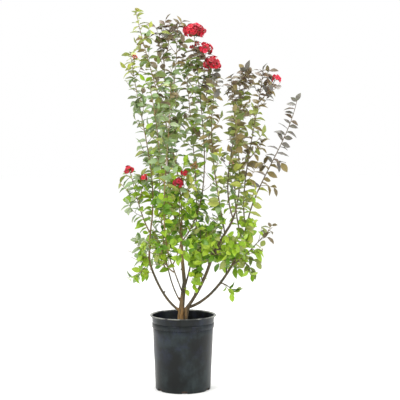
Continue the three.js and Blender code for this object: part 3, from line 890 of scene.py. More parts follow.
# --- the potting mix
@dataclass
class PottingMix:
    """The crumbly fill of the pot, with loose chips of bark and grains of perlite on top."""

    soil: float
    clearance: float = 0.0004
    floor_radius: float = 0.1112
    step_radius: float = 0.1222
    step_height: float = 0.256
    sag: float = 0.005
    flat_radius: float = 0.040
    cell: float = 0.0038
    lumps: Place = (90.0, 0.0016, 0.001)
    chips: int = 520
    chip_size: Span = (0.009, 0.3)
    grains: int = 130
    grain_size: Span = (0.0035, 0.85)
    tilt: float = 0.5
    seed: int = 7

    def surface_height(self, radius: float, edge: float) -> float:
        """Gives the height of the soil at a distance from the axis."""
        share = max(0.0, (radius - self.flat_radius) / (edge - self.flat_radius))
        return self.soil - self.sag * share ** 1.5

    def fill(self) -> Piece:
        """Models the fill with a lumpy top.

        Returns:
            The fill.
        """
        low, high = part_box("potting_mix")
        rings = [(self.floor_radius, low.z + self.clearance), (self.step_radius, self.step_height),
                 (high.y - self.clearance, self.soil - self.sag),
                 (self.flat_radius, self.soil - 0.001)]
        body = Bench.turn(rings, 72)
        Bench.modify(body, "REMESH", mode="VOXEL", voxel_size=self.cell)
        scale, depth, sink = self.lumps
        for vertex in body.data.vertices:
            place = vertex.co
            if place.z > self.soil - self.sag - 0.004:
                place.z += noise.fractal(place * scale, 0.8, 2.2, 4) * depth - sink
        return body

    def crumbs(self, count: int, size: float, flat: float, stream: Stream,
               kind: Callable[[], Pattern]) -> Pattern:
        """Scatters small lumps over the soil.

        Args:
            count: How many.
            size: The mean length of one.
            flat: Its thickness as a share of its length.
            stream: The stream of chance.
            kind: Makes the pattern of one lump of unit size.

        Returns:
            All of them in one pattern.
        """
        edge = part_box("potting_mix")[1].y - size
        lump = kind()
        made = []
        for _ in range(count):
            radius = math.sqrt(stream.draw()) * edge
            angle = stream.draw() * FULL_TURN
            height = self.surface_height(radius, edge) + size * flat * 0.1
            place = Matrix.Translation((radius * math.cos(angle), radius * math.sin(angle), height))
            turn = Quaternion(UP, stream.draw() * FULL_TURN).to_matrix().to_4x4()
            tilt = Quaternion(sideways(UP, stream.draw() * FULL_TURN), stream.spread(self.tilt))
            length = size * (1.0 + stream.spread(0.5))
            scale = Matrix.Diagonal((length, length * (0.5 + 0.3 * stream.draw()), length * flat, 1.0))
            made.append(lump.moved(place @ tilt.to_matrix().to_4x4() @ turn @ scale))
        return Pattern.joined(made)

    @staticmethod
    def chip() -> Pattern:
        """Models one splinter of bark.

        Returns:
            Its pattern.
        """
        Bench.clear()
        bpy.ops.mesh.primitive_cube_add(size=1.0)
        Bench.edit()
        bpy.ops.mesh.subdivide(number_cuts=1)
        bpy.ops.transform.vertex_random(offset=0.12, seed=3)
        return Pattern.of(Bench.done())

    @staticmethod
    def grain() -> Pattern:
        """Models one grain of perlite.

        Returns:
            Its pattern.
        """
        Bench.clear()
        bpy.ops.mesh.primitive_ico_sphere_add(subdivisions=2, radius=0.5)
        Bench.edit()
        bpy.ops.transform.vertex_random(offset=0.09, seed=5)
        return Pattern.of(Bench.done())

    def build(self) -> None:
        """Models the mix and what lies loose on it, and hands them over."""
        stream = Stream(self.seed)
        body = self.fill()
        Bench.smooth(body, 60.0)
        Bench.hand_over(body, "mix_fill", "potting_mix", [MixFinish().material()], ["potting_mix"])
        chips = Bench.from_pattern(self.crumbs(self.chips, *self.chip_size, stream, self.chip))
        looks = MixFinish("bark_chips", "2c1f16", "6b4c33")
        Bench.hand_over(chips, "bark_chips", "potting_mix", [looks.material()])
        grains = Bench.from_pattern(self.crumbs(self.grains, *self.grain_size, stream, self.grain))
        Bench.hand_over(grains, "perlite_grains", "potting_mix",
                        [PlainFinish("perlite", "c9c4b8", 0.85).material()])


# --- trunk and boughs
@dataclass(frozen=True)
class LimbPlan:
    """How a limb leaves the limb that carries it, bends and ends, with its end radii, in mm."""

    on: str
    at: float
    bend: Place
    tip: Place
    radii: Span


LIMBS: dict[str, LimbPlan] = {
    "bough_left": LimbPlan("trunk", 0.38, (-86, 8, 95), (-140, 30, 255), (6, 4.6)),
    "bough_left_upper": LimbPlan("bough_left", 1, (-142, 32, 339), (-131, 35, 422), (4.6, 3.4)),
    "bough_left_back": LimbPlan("trunk", 0.55, (-49, 50, 136), (-74, 110, 264), (3.4, 2.8)),
    "bough_front": LimbPlan("trunk", 0.75, (-20, -60, 187), (-47, -110, 271), (3.2, 2.7)),
    "bough_centre": LimbPlan("trunk", 1, (2, 0, 217), (-4, 5, 275), (8.3, 7.2)),
    "bough_centre_upper": LimbPlan("bough_centre", 1, (-8, 5, 349), (-6, 0, 424), (7.2, 5.4)),
    "bough_back": LimbPlan("trunk", 0.8, (24, 35, 201), (41, 70, 293), (4.2, 3.2)),
    "bough_right": LimbPlan("trunk", 0.31, (76, -30, 138), (119, -60, 286), (7.6, 6.2)),
    "bough_right_upper": LimbPlan("bough_right", 1, (147, -66, 343), (180, -70, 397), (6.2, 5)),
    "bough_right_top": LimbPlan("bough_right_upper", 1, (200, -64, 425), (212, -60, 465), (5, 4)),
    "bough_far_right": LimbPlan("bough_right", 0.14, (122, 5, 94), (215, 20, 265), (6.4, 5.2)),
    "bough_far_right_upper":
        LimbPlan("bough_far_right", 1, (248, 22, 340), (269, 25, 431), (5.2, 3.8)),
}
STUBS = (("bough_left", 0.86, 2.6), ("bough_right", 0.47, 0.4), ("bough_far_right", 0.62, 3.4),
         ("bough_centre", 0.5, 1.9), ("bough_left", 0.42, 5.0), ("trunk", 0.62, 2.2))


@dataclass
class Wood:
    """The trunk and its boughs, one skin of bark from the soil to where each enters the leaves."""

    soil: float
    trunk_foot: Place = (-0.012, 0.0, -0.020)
    trunk_bend: Place = (-0.007, 0.0, 0.084)
    trunk_tip: Place = (0.006, 0.0, 0.172)
    trunk_radii: Span = (0.0135, 0.0086)
    flare: float = 0.0055
    flare_reach: float = 0.2
    lobes: int = 4
    lobe_share: float = 0.09
    trunk_cuts: int = 15
    cell: float = 0.0013
    relief: float = 0.0006
    ridges: Place = (190.0, 34.0, 0.9)
    strips: Place = (120.0, 26.0, 0.35)
    aging: float = 0.55
    stub_radius: float = 0.0032
    stub_length: float = 0.011
    stub_angle: float = math.radians(58.0)
    second_foot: Place = (0.006, -0.007, -0.012)
    second_bow: Place = (-0.006, 0.0, 0.006)
    second_share: float = 0.2
    second_radii: Span = (0.0090, 0.0074)
    crease: float = 80.0
    runs: dict[str, Run] = field(default_factory=dict)

    def lay_out(self) -> None:
        """Works out the curve of the trunk and of every bough."""
        self.runs["trunk"] = Run(self.trunk_foot, self.trunk_bend, self.trunk_tip)
        for name, plan in LIMBS.items():
            foot = self.runs[plan.on].at(plan.at)
            self.runs[name] = Run(foot, Vector(plan.bend) * MM, Vector(plan.tip) * MM)

    def limb(self, run: Run, radii: Span, cuts: int = 0) -> Piece:
        """Draws one limb as a tapering path and gives it as a mesh.

        Args:
            run: Its curve, over the soil.
            radii: Its radius at the foot and at the tip.
            cuts: How many points more the path gets, for a taper that isn't even.

        Returns:
            The limb's closed mesh.
        """
        lift = UP * self.soil
        foot, bend, tip = (control + lift for control in run.controls)
        Bench.clear()
        bpy.ops.curve.primitive_bezier_curve_add()
        path = Bench.active()
        path.data.dimensions = "3D"
        first, last = path.data.splines[0].bezier_points
        for point, place, radius in ((first, foot, radii[0]), (last, tip, radii[1])):
            point.handle_left_type = point.handle_right_type = "FREE"
            point.co = place
            point.radius = radius
        first.handle_left, first.handle_right = foot, foot + (bend - foot) * (2.0 / 3.0)
        last.handle_left, last.handle_right = tip + (bend - tip) * (2.0 / 3.0), tip
        if cuts:
            bpy.ops.object.mode_set(mode="EDIT")
            bpy.ops.curve.select_all(action="SELECT")
            bpy.ops.curve.subdivide(number_cuts=cuts)
            bpy.ops.object.mode_set(mode="OBJECT")
            points = path.data.splines[0].bezier_points
            for index, point in enumerate(points):
                share = index / (len(points) - 1)
                fade = math.exp(-share / self.flare_reach)
                point.radius = radii[0] + (radii[1] - radii[0]) * share + self.flare * fade
        path.data.bevel_depth = 1.0
        path.data.bevel_resolution = 4
        path.data.resolution_u = 12 if cuts else 24
        path.data.use_fill_caps = True
        bpy.ops.object.convert(target="MESH")
        return Bench.active()

    def stubs(self) -> Iterator[Piece]:
        """Yields the short ends left where side shoots were pruned."""
        for name, share, turn in STUBS:
            run = self.runs[name]
            along = run.heading(share)
            foot = run.at(share)
            out = leaning(along, sideways(along, turn), self.stub_angle)
            reach = self.stub_length + (self.trunk_radii[0] if name == "trunk" else 0.002)
            radii = (self.stub_radius, self.stub_radius * 0.8)
            yield self.limb(Run(foot, foot + out * reach * 0.5, foot + out * reach), radii)

    def second_stem(self) -> Piece:
        """Models the stem that stands close by the trunk and feeds the boughs on the right.

        Returns:
            The stem's closed mesh.
        """
        foot = Vector(self.second_foot)
        tip = self.runs["bough_right"].at(self.second_share)
        bend = foot + (tip - foot) * 0.5 + Vector(self.second_bow)
        return self.limb(Run(foot, bend, tip), self.second_radii)

    def carve(self, skin: Piece) -> None:
        """Gives the skin its root lobes, long ridges and the edges of flaking strips.

        Args:
            skin: The joined wood.
        """
        ridge, ridge_tall, ridge_share = self.ridges
        strip, strip_tall, strip_share = self.strips
        low_z = self.soil - 0.002
        middle = Vector(self.trunk_foot)
        before = [(vertex.co.copy(), vertex.normal.copy()) for vertex in skin.data.vertices]
        for vertex, (place, normal) in zip(skin.data.vertices, before):
            ridges = noise.noise(Vector((place.x * ridge, place.y * ridge, place.z * ridge_tall)))
            strips = noise.cell(
                Vector((place.x * strip, place.y * strip, place.z * strip_tall))) - 0.5
            height = (place.z - self.soil) / self.trunk_tip[2]
            aged = 1.0 - min(1.0, max(0.0, height)) * self.aging
            move = (ridges * ridge_share + strips * strip_share) * self.relief * aged
            if 0.0 <= height < 1.0:
                angle = math.atan2(place.y - middle.y, place.x - middle.x)
                fade = math.exp(-height / self.flare_reach)
                move += self.lobe_share * math.cos(self.lobes * angle) * fade * self.trunk_radii[0]
            vertex.co = place + normal * move
            vertex.co.z = max(vertex.co.z, low_z)

    def build(self) -> None:
        """Models the wood and hands it over."""
        self.lay_out()
        parts = [self.limb(self.runs["trunk"], self.trunk_radii, self.trunk_cuts)]
        for name, plan in LIMBS.items():
            low, high = plan.radii
            parts.append(self.limb(self.runs[name], (low * MM, high * MM)))
        parts += [*self.stubs(), self.second_stem()]
        Bench.take(*parts)
        bpy.ops.object.join()
        skin = Bench.active()
        Bench.modify(skin, "REMESH", mode="VOXEL", voxel_size=self.cell)
        Bench.modify(skin, "SMOOTH", factor=0.5, iterations=2)
        self.carve(skin)
        Bench.smooth(skin, self.crease)
        Bench.hand_over(skin, "trunk_and_boughs", "bark", [BarkFinish().material()],
                        ["trunk", *LIMBS])


# --- leaf and flower forms
@dataclass(frozen=True)
class LeafForm:
    """One leaf of unit length: its root at the origin, its tip towards +X, its face up."""

    width: float
    fold: float
    arch: float
    widest: float = 0.47
    point: float = 0.92
    stations: int = 6
    thickness: float = 0.013
    wave: float = 0.012

    def half_width(self, share: float) -> float:
        """Gives the outline's half width at a share of the length."""
        skew = share ** (math.log(0.5) / math.log(self.widest))
        return 0.5 * self.width * max(0.0, math.sin(math.pi * skew)) ** self.point

    def model(self) -> Pattern:
        """Models the blade: a grid drawn to the outline, folded on its midrib and arched.

        Returns:
            The leaf's pattern.
        """
        Bench.grid(self.stations, 2)
        for station in range(self.stations + 1):
            share = station / self.stations
            Bench.pick_row(share)
            width = 2.0 * self.half_width(share)
            bpy.ops.transform.resize(value=(1.0, max(width, 1e-5), 1.0),
                                     center_override=(share, 0.0, 0.0))
            bpy.ops.transform.translate(value=(0.0, 0.0, -self.arch * share ** 2))
            Bench.pick(lambda place: abs(place.x - share) < Bench.ROW and abs(place.y) > 0.001)
            wave = self.wave * (1 if station % 2 else -1)
            bpy.ops.transform.translate(value=(0.0, 0.0, width * self.fold + wave))
        bpy.ops.mesh.select_all(action="SELECT")
        bpy.ops.mesh.remove_doubles(threshold=0.002)
        blade = Bench.done()
        for name in ("upper", "under"):
            blade.data.materials.append(bpy.data.materials.new(name))
        Bench.modify(blade, "SOLIDIFY", thickness=self.thickness, offset=-1.0,
                       material_offset=1, material_offset_rim=0)
        return Pattern.of(blade)


@dataclass(frozen=True)
class PetalForm:
    """One crinkled petal of unit length on a narrow claw, pointing towards +X."""

    seed: int
    width: float = 0.95
    claw: float = 0.3
    claw_width: float = 0.04
    crinkle: float = 0.075
    rows: int = 4
    cup: float = 0.22
    thickness: float = 0.03

    def half_width(self, share: float) -> float:
        """Gives the outline's half width at a share of the length.

        Args:
            share: The share, from 0 to 1.

        Returns:
            The half width.
        """
        if share < self.claw:
            return self.claw_width
        spread = (share - self.claw) / (1.0 - self.claw)
        fan = math.sin(math.pi * min(1.0, spread * 0.82 + 0.06)) ** 0.6
        return self.claw_width + self.width * 0.5 * fan

    def model(self) -> Pattern:
        """Models the petal: a grid drawn to a fan, ruffled at its edge.

        Returns:
            The petal's pattern.
        """
        Bench.grid(self.rows, 3)
        for row in range(self.rows + 1):
            share = row / self.rows
            Bench.pick_row(share)
            bpy.ops.transform.resize(value=(1.0, 2.0 * self.half_width(share), 1.0),
                                     center_override=(share, 0.0, 0.0))
            bpy.ops.transform.translate(value=(0.0, 0.0, self.cup * math.sin(share * 2.4)))
        Bench.pick(lambda place: place.x > self.claw)
        bpy.ops.transform.vertex_random(offset=self.crinkle, uniform=0.3, seed=self.seed)
        petal = Bench.done()
        Bench.modify(petal, "SOLIDIFY", thickness=self.thickness, offset=0.0)
        return Pattern.of(petal)


NARROW_LEAVES = (LeafForm(0.55, 0.18, 0.30), LeafForm(0.51, 0.28, 0.40), LeafForm(0.59, 0.11, 0.20))
BROAD_LEAVES = (LeafForm(0.55, 0.18, 0.20, 0.5, 0.8), LeafForm(0.58, 0.10, 0.28, 0.5, 0.8),
                LeafForm(0.50, 0.26, 0.16))


class SmallParts:
    """The small round parts of the flowers and seed heads, each modelled once."""

    @staticmethod
    def calyx() -> Pattern:
        """Models the green cup under a flower, of unit radius, pointing up."""
        cup = Bench.turn([(0.18, -1.0), (0.5, -0.7), (0.9, -0.1), (1.0, 0.35), (0.55, 0.3)], 6)
        return Pattern.of(cup)

    @staticmethod
    def bud() -> Pattern:
        """Models a round unopened bud with a pinched point."""
        ball = Bench.turn([(0.25, -1.0), (0.8, -0.65), (1.0, 0.0), (0.78, 0.6), (0.25, 1.05)], 6)
        return Pattern.of(ball)

    @staticmethod
    def stamens() -> Pattern:
        """Models the tuft of yellow stamens in a flower's middle.

        Returns:
            Its pattern.
        """
        Bench.clear()
        bpy.ops.mesh.primitive_ico_sphere_add(subdivisions=1, radius=1.0)
        Bench.edit()
        bpy.ops.mesh.poke()
        bpy.ops.transform.vertex_random(offset=0.35, seed=9)
        return Pattern.of(Bench.done())

    @staticmethod
    def capsule() -> Pattern:
        """Models a dry seed capsule, split open in six at its top.

        Returns:
            Its pattern.
        """
        case = Bench.turn([(0.2, -1.0), (0.75, -0.75), (1.0, 0.0), (0.9, 0.7), (0.55, 1.05),
                           (0.3, 0.5)], 12)
        Bench.edit()
        Bench.pick(lambda place: round((math.atan2(place.y, place.x) / FULL_TURN) * 12) % 2 == 0)
        bpy.ops.transform.resize(value=(0.84, 0.84, 1.0), center_override=(0.0, 0.0, 0.0))
        return Pattern.of(Bench.done())


# --- how the crown grows
@dataclass(frozen=True)
class Habit:
    """How densely a shoot carries twigs and leaves."""

    twig_spacing: float
    twig_lengths: Span
    twig_rise: float
    leaf_spacing: float
    leaf_length: float
    droop: float
    roll: float
    broad: bool
    ranked: bool = False


class Habits(Enum):
    """The ways in which the plant's shoots grow."""

    WHIP = Habit(0.060, (0.095, 0.055), 0.60, 0.0110, 0.044, 0.40, 0.80, False)
    WAND = Habit(0.400, (0.070, 0.050), 0.60, 0.0135, 0.046, 0.50, 0.70, False, True)
    BUSH = Habit(0.022, (0.105, 0.065), 0.15, 0.0120, 0.0405, 0.35, 1.10, True)


@dataclass(frozen=True)
class Reach:
    """Where a shoot leaves its parent and how far its last leaf or flower head gets, in mm."""

    at: float
    tip: Place
    bloom: float = 0.0
    bow: Span = (0.0, 0.0)


@dataclass(frozen=True)
class MassPlan:
    """A mass of foliage: the limb that carries it, its leading shoot and its forks."""

    on: str
    leader: Reach
    forks: tuple[Reach, ...] = ()
    habit: Habits = Habits.WHIP


BUSH = Habits.BUSH
WAND = Habits.WAND
MASSES: dict[str, MassPlan] = {
    "tall_left": MassPlan("bough_left_upper", Reach(1, (-222, 60, 1150)),
        (Reach(0.86, (-252, 40, 1080)),)),
    "bloom_left": MassPlan("bough_left_upper", Reach(0.72, (-219, -40, 640), 16),
        (Reach(0.5, (-158, -70, 607), 12), Reach(0.55, (-280, -10, 606)))),
    "inner_left": MassPlan("bough_centre_upper", Reach(0.86, (-133, -120, 985))),
    "crown_tall": MassPlan("bough_centre_upper", Reach(1, (-196, -50, 1310))),
    "crown_middle": MassPlan("bough_centre_upper", Reach(0.7, (-23, -20, 1262))),
    "crown_top": MassPlan("bough_centre_upper", Reach(0.55, (-92, 110, 1262)),
        (Reach(0.85, (-50, 85, 1276)),)),
    "crown_bloom": MassPlan("bough_centre_upper", Reach(0.45, (46, -30, 1203), 44, (18, 0)),
        (Reach(0.72, (94, -60, 1128), 21), Reach(0.64, (119, -75, 1068), 31))),
    "back_left": MassPlan("bough_left_back", Reach(1, (-120, 230, 914))),
    "front_left": MassPlan("bough_front", Reach(1, (-45, -205, 1013))),
    "crown_back": MassPlan("bough_back", Reach(1, (10, 210, 1139))),
    "right_inner": MassPlan("bough_right_upper", Reach(0.86, (140, -150, 1040), 0, (-38, -20))),
    "right_centre": MassPlan("bough_right_top", Reach(1, (195, -80, 1045))),
    "right_high": MassPlan("bough_right_top", Reach(0.7, (266, 40, 1078))),
    "right_back": MassPlan("bough_far_right_upper", Reach(0.5, (240, 200, 1060))),
    "bloom_far_right": MassPlan("bough_far_right_upper", Reach(0.8, (326, -90, 1068)),
        (Reach(0.8, (376, -110, 1006), 13), Reach(0.45, (337, -60, 777)))),
    "tall_far_right": MassPlan("bough_far_right_upper", Reach(1, (480, 30, 950), 0, (20, 0)),
        (), WAND),
    "low_left": MassPlan("bough_left", Reach(0.85, (-190, -10, 370)),
        (Reach(0.2, (-206, 10, 180)), Reach(0.25, (-172, -100, 330))), BUSH),
    "low_back_left": MassPlan("bough_left_back", Reach(0.75, (-138, 200, 400)),
        (Reach(0.4, (-40, 200, 350)),), BUSH),
    "low_front_left": MassPlan("bough_front", Reach(0.7, (-110, -200, 390)),
        (Reach(0.3, (-110, -110, 250)),), BUSH),
    "low_front": MassPlan("bough_front", Reach(0.9, (10, -200, 400)), (), BUSH),
    "low_centre": MassPlan("bough_centre_upper", Reach(0.2, (-18, -90, 586), 18),
        (Reach(0.75, (8, -80, 628), 9),), BUSH),
    "low_back_right": MassPlan("bough_back", Reach(0.75, (96, 200, 400)),
        (Reach(0.3, (90, 130, 290)),), BUSH),
    "low_inner_right": MassPlan("bough_right", Reach(0.6, (70, -40, 420)),
        (Reach(0.15, (100, -130, 200)), Reach(0.2, (20, -90, 250))), BUSH),
    "low_front_right": MassPlan("bough_right", Reach(0.86, (92, -180, 440)), (), BUSH),
    "low_right": MassPlan("bough_right", Reach(0.97, (190, -190, 400)),
        (Reach(0.25, (205, -150, 250)), Reach(0.4, (250, -130, 380))), BUSH),
    "low_middle_right": MassPlan("bough_right", Reach(0.9, (150, 50, 470)),
        (Reach(0.2, (190, 30, 330)),), BUSH),
    "low_back_far_right": MassPlan("bough_far_right", Reach(0.75, (200, 160, 380)),
        (Reach(0.4, (290, 130, 300)),), BUSH),
    "low_outer_right": MassPlan("bough_far_right_upper", Reach(0.2, (278, -50, 470)), (), BUSH),
    "low_far_right": MassPlan("bough_far_right", Reach(0.92, (384, -40, 423)),
        (Reach(0.2, (290, -60, 190)), Reach(0.45, (351, 0, 284)))),
    "hanging": MassPlan("bough_far_right", Reach(0.6, (243, -10, 120))),
}


@dataclass(frozen=True)
class Part:
    """A part of the crown, seen from the front and measured over the soil."""

    left: float
    right: float
    low: float
    high: float

    def holds(self, place: Vector) -> bool:
        """Tells whether a place lies in the part."""
        return self.left <= place.x < self.right and self.low <= place.z < self.high


@dataclass(frozen=True)
class Patch(Part):
    """A part with the leaf colours that belong there; the first one that holds a leaf counts."""

    tones: tuple[LeafTone, ...]


T = LeafTone
FAR = 9.0
PATCHES = (
    Patch(-FAR, -0.13, 1.19, FAR, (T.STRAW, T.OLIVE, T.GOLD)),
    Patch(-FAR, -0.13, 1.10, FAR, (T.GOLD, T.OLIVE, T.BRONZE, T.SAGE)),
    Patch(-FAR, -0.19, 1.01, FAR, (T.GOLD, T.LIME, T.GOLD, T.OLIVE)),
    Patch(-FAR, -0.13, 0.82, FAR, (T.OLIVE, T.MOSS, T.SAGE, T.OLIVE, T.UMBER)),
    Patch(-FAR, 0.16, 1.06, FAR, (T.UMBER, T.DUSK, T.PLUM, T.UMBER, T.MOSS, T.BRONZE, T.PLUM)),
    Patch(0.36, FAR, 0.55, FAR, (T.DUSK, T.PLUM, T.DUSK, T.DUSK)),
    Patch(0.30, FAR, 0.55, FAR, (T.PLUM, T.DUSK, T.UMBER, T.DUSK, T.BRONZE)),
    Patch(0.10, FAR, 0.92, FAR, (T.BRONZE, T.PLUM, T.UMBER, T.UMBER, T.DUSK)),
    Patch(0.215, FAR, 0.60, FAR, (T.BRONZE, T.OLIVE, T.UMBER, T.BRONZE, T.OLIVE)),
    Patch(0.10, FAR, 0.66, FAR, (T.OLIVE, T.BRONZE, T.OLIVE, T.MOSS, T.BRONZE, T.GREY)),
    Patch(0.12, FAR, 0.48, FAR, (T.OLIVE, T.GOLD, T.SAGE, T.GOLD, T.MEADOW, T.OLIVE)),
    Patch(-FAR, -0.12, 0.55, FAR, (T.GREY, T.SAGE, T.GREY, T.OLIVE, T.FRESH)),
    Patch(-FAR, FAR, 0.85, FAR, (T.OLIVE, T.MOSS, T.UMBER, T.MOSS, T.SAGE, T.BRONZE)),
    Patch(-FAR, 0.00, 0.62, FAR, (T.SAGE, T.OLIVE, T.GREY, T.MOSS, T.SAGE)),
    Patch(-FAR, FAR, 0.62, FAR, (T.MEADOW, T.OLIVE, T.SAGE, T.GREY, T.OLIVE)),
    Patch(0.30, FAR, 0.20, FAR, (T.OLIVE, T.BRONZE, T.UMBER, T.GOLD)),
    Patch(0.22, FAR, -FAR, FAR, (T.LIME, T.FRESH, T.OLIVE, T.MEADOW, T.GOLD, T.FRESH)),
    Patch(-0.12, FAR, 0.52, FAR, (T.OLIVE, T.FRESH, T.SAGE, T.MEADOW, T.GOLD, T.OLIVE)),
    Patch(-FAR, -0.185, 0.42, FAR, (T.GREY, T.SAGE, T.OLIVE, T.GREY, T.MEADOW)),
    Patch(-FAR, -0.10, -FAR, FAR, (T.FRESH, T.GREY, T.LIME, T.SAGE, T.FRESH, T.MEADOW)),
    Patch(-FAR, FAR, -FAR, FAR, (T.FRESH, T.DEEP, T.OLIVE, T.FRESH, T.DEEP, T.LIME, T.MEADOW)),
)


@dataclass(frozen=True)
class Opening(Part):
    """A part that stays open, with the share of its leaves that is kept."""

    kept: float


OPENINGS = (
    Opening(0.072, 0.118, 0.545, 0.725, 0.1),
    Opening(0.168, 0.205, 0.66, 0.83, 0.3),
    Opening(0.160, 0.320, 0.50, 0.70, 0.85),
    Opening(0.295, 0.377, 0.28, 0.42, 0.4),
    Opening(-FAR, -0.205, 0.24, 0.45, 0.0),
    Opening(-FAR, -0.225, 0.95, 1.06, 0.25),
    Opening(-0.10, 0.060, 0.56, 0.72, 0.62),
    Opening(-0.21, -0.060, 0.72, 0.90, 0.80),
    Opening(-0.125, -0.030, 1.05, 1.17, 0.62),
)


class Sight:
    """How the crown is seen from the front, and which limbs show there."""

    FROM = Vector((0.070, -4.400, 0.733))
    BARED = ("trunk", "bough_left", "bough_left_upper", "bough_centre", "bough_centre_upper",
             "bough_right", "bough_right_upper", "bough_far_right")
    CLEARANCE = 0.010
    KEPT = 0.16
    MARGIN = 0.008
    LEAST_HEAD = 0.0125
    STEP = 0.008

    def __init__(self, wood: Wood, stems: dict[str, list[Stem]]) -> None:
        """Gathers the limbs and the flower heads that show.

        Args:
            wood: The trunk and boughs.
            stems: The shoots of every mass.
        """
        self.heads = [(self.seen(stem.run.at(1.0)), stem.run.at(1.0).y, stem.bloom + self.MARGIN)
                      for found in stems.values() for stem in found
                      if stem.bloom > self.LEAST_HEAD]
        points = [point for name in self.BARED for point in wood.runs[name].spaced(self.STEP)]
        self.limbs = tree_of([self.seen(point) for point in points])
        self.depths = [point.y for point in points]

    def seen(self, place: Vector) -> Vector:
        """Gives where a place shows on the plane through the trunk."""
        ahead = place - self.FROM
        return self.FROM + ahead * (-self.FROM.y / ahead.y)

    def bared(self, place: Vector) -> bool:
        """Tells whether a place hides a limb or a flower head that shows.

        Args:
            place: The place over the soil.

        Returns:
            Whether it does.
        """
        seen = self.seen(place)
        _, index, distance = self.limbs.find(seen)
        if place.y < self.depths[index] and distance < self.CLEARANCE:
            return True
        return any(place.y < depth and (seen - middle).length < reach
                   for middle, depth, reach in self.heads)

    def stays_clear(self, places: Sequence[Vector], chance: float) -> bool:
        """Tells whether a leaf is left out, for a limb or for the light.

        Args:
            places: Its middle and its tip.
            chance: A number from 0 to 1 that decides what is kept.

        Returns:
            Whether it is left out.
        """
        if chance > self.KEPT and any(self.bared(place) for place in places):
            return True
        seen = self.seen(places[0])
        return any(opening.holds(seen) and chance > opening.kept for opening in OPENINGS)


def patch_tones(place: Vector) -> tuple[LeafTone, ...]:
    """Gives the leaf colours of the part of the crown where a place lies."""
    return next(patch.tones for patch in PATCHES if patch.holds(place))


@dataclass(frozen=True)
class Sprig:
    """A short twig with a few leaves of its own: its carrier, its tip in mm and its leaves."""

    on: str
    at: float
    tip: Place
    count: int
    leaf_length: float
    tones: tuple[LeafTone, ...]
    hang: float = 0.5


SPRIGS = (
    Sprig("trunk", 0.80, (14, -44, 150), 2, 30, (T.FRESH, T.LIME), 0.8),
    Sprig("bough_right", 0.30, (62, -78, 184), 4, 33, (T.FRESH, T.LIME, T.MEADOW)),
    Sprig("bough_left", 0.80, (-154, -20, 210), 4, 36, (T.LIME, T.FRESH, T.MEADOW), 0.9),
    Sprig("bough_far_right", 0.85, (228, -62, 240), 4, 45, (T.DEEP, T.MEADOW, T.DEEP), 0.7),
    Sprig("bough_far_right_upper", 0.06, (284, -24, 228), 4, 40, (T.MOSS, T.UMBER, T.OLIVE), 1.0),
    Sprig("bough_far_right_upper", 0.10, (304, -10, 262), 4, 36, (T.OLIVE, T.BRONZE, T.MOSS), 1.0),
    Sprig("low_far_right", 0.62, (344, -44, 366), 2, 38, (T.BRONZE, T.UMBER), 0.8),
    Sprig("low_far_right", 0.88, (364, -40, 414), 2, 26, (T.UMBER, T.MOSS), 0.4),
    Sprig("bough_far_right", 0.62, (198, -14, 132), 2, 36, (T.MEADOW, T.FRESH), 1.6),
    Sprig("tall_far_right", 0.42, (326, -10, 668), 3, 44, (T.BRONZE, T.UMBER, T.PLUM), 0.6),
    Sprig("tall_far_right", 0.48, (404, 0, 668), 3, 44, (T.DUSK, T.BRONZE), 0.7),
    Sprig("tall_far_right", 0.28, (374, 0, 566), 3, 40, (T.OLIVE, T.BRONZE, T.UMBER), 0.9),
    Sprig("right_high", 0.94, (252, 36, 1054), 5, 31, (T.UMBER, T.PLUM, T.BRONZE), 0.4),
    Sprig("right_high", 0.92, (288, 40, 1050), 5, 31, (T.PLUM, T.UMBER, T.PLUM), 0.4),
    Sprig("right_high", 0.88, (274, 30, 1018), 5, 34, (T.BRONZE, T.UMBER, T.PLUM), 0.5),
    Sprig("right_centre", 0.95, (206, -70, 990), 4, 33, (T.BRONZE, T.PLUM), 0.4),
    Sprig("bloom_far_right", 0.94, (350, -90, 1038), 4, 34, (T.PLUM, T.UMBER, T.PLUM), 0.4),
    Sprig("bloom_far_right", 0.86, (352, -95, 984), 5, 38, (T.PLUM, T.UMBER), 0.5),
    Sprig("crown_top", 0.96, (-72, 88, 1262), 4, 34, (T.UMBER, T.PLUM, T.DUSK), 0.0),
    Sprig("crown_top", 0.90, (-116, 96, 1232), 5, 36, (T.UMBER, T.DUSK, T.PLUM), 0.5),
    Sprig("crown_top", 0.88, (-48, 80, 1216), 5, 36, (T.UMBER, T.MOSS, T.PLUM), 0.3),
    Sprig("crown_top", 0.80, (-92, 70, 1166), 4, 36, (T.MOSS, T.OLIVE, T.SAGE), 0.3),
    Sprig("crown_middle", 0.97, (-2, -30, 1240), 5, 34, (T.PLUM, T.UMBER, T.BRONZE), 0.3),
    Sprig("crown_middle", 0.90, (-52, -24, 1192), 4, 36, (T.MOSS, T.UMBER, T.OLIVE), 0.3),
    Sprig("crown_middle", 0.86, (8, -40, 1160), 5, 37, (T.MOSS, T.UMBER, T.PLUM), 0.3),
    Sprig("crown_bloom", 0.86, (52, -44, 1120), 6, 37, (T.PLUM, T.MOSS, T.UMBER), 0.4),
    Sprig("crown_bloom", 0.78, (12, -24, 1072), 6, 38, (T.MOSS, T.UMBER, T.BRONZE), 0.3),
    Sprig("crown_tall", 0.86, (-140, -44, 1176), 5, 36, (T.OLIVE, T.MOSS, T.SAGE), 0.3),
    Sprig("tall_left", 0.72, (-196, 40, 905), 4, 38, (T.SAGE, T.GREY), 0.2),
    Sprig("crown_middle", 0.45, (-18, -60, 790), 6, 42, (T.MOSS, T.OLIVE, T.MEADOW), 0.2),
    Sprig("crown_middle", 0.50, (12, 20, 850), 6, 42, (T.MOSS, T.OLIVE, T.UMBER), 0.2),
    Sprig("crown_bloom", 0.50, (42, -60, 780), 6, 42, (T.MOSS, T.MEADOW, T.UMBER), 0.2),
)


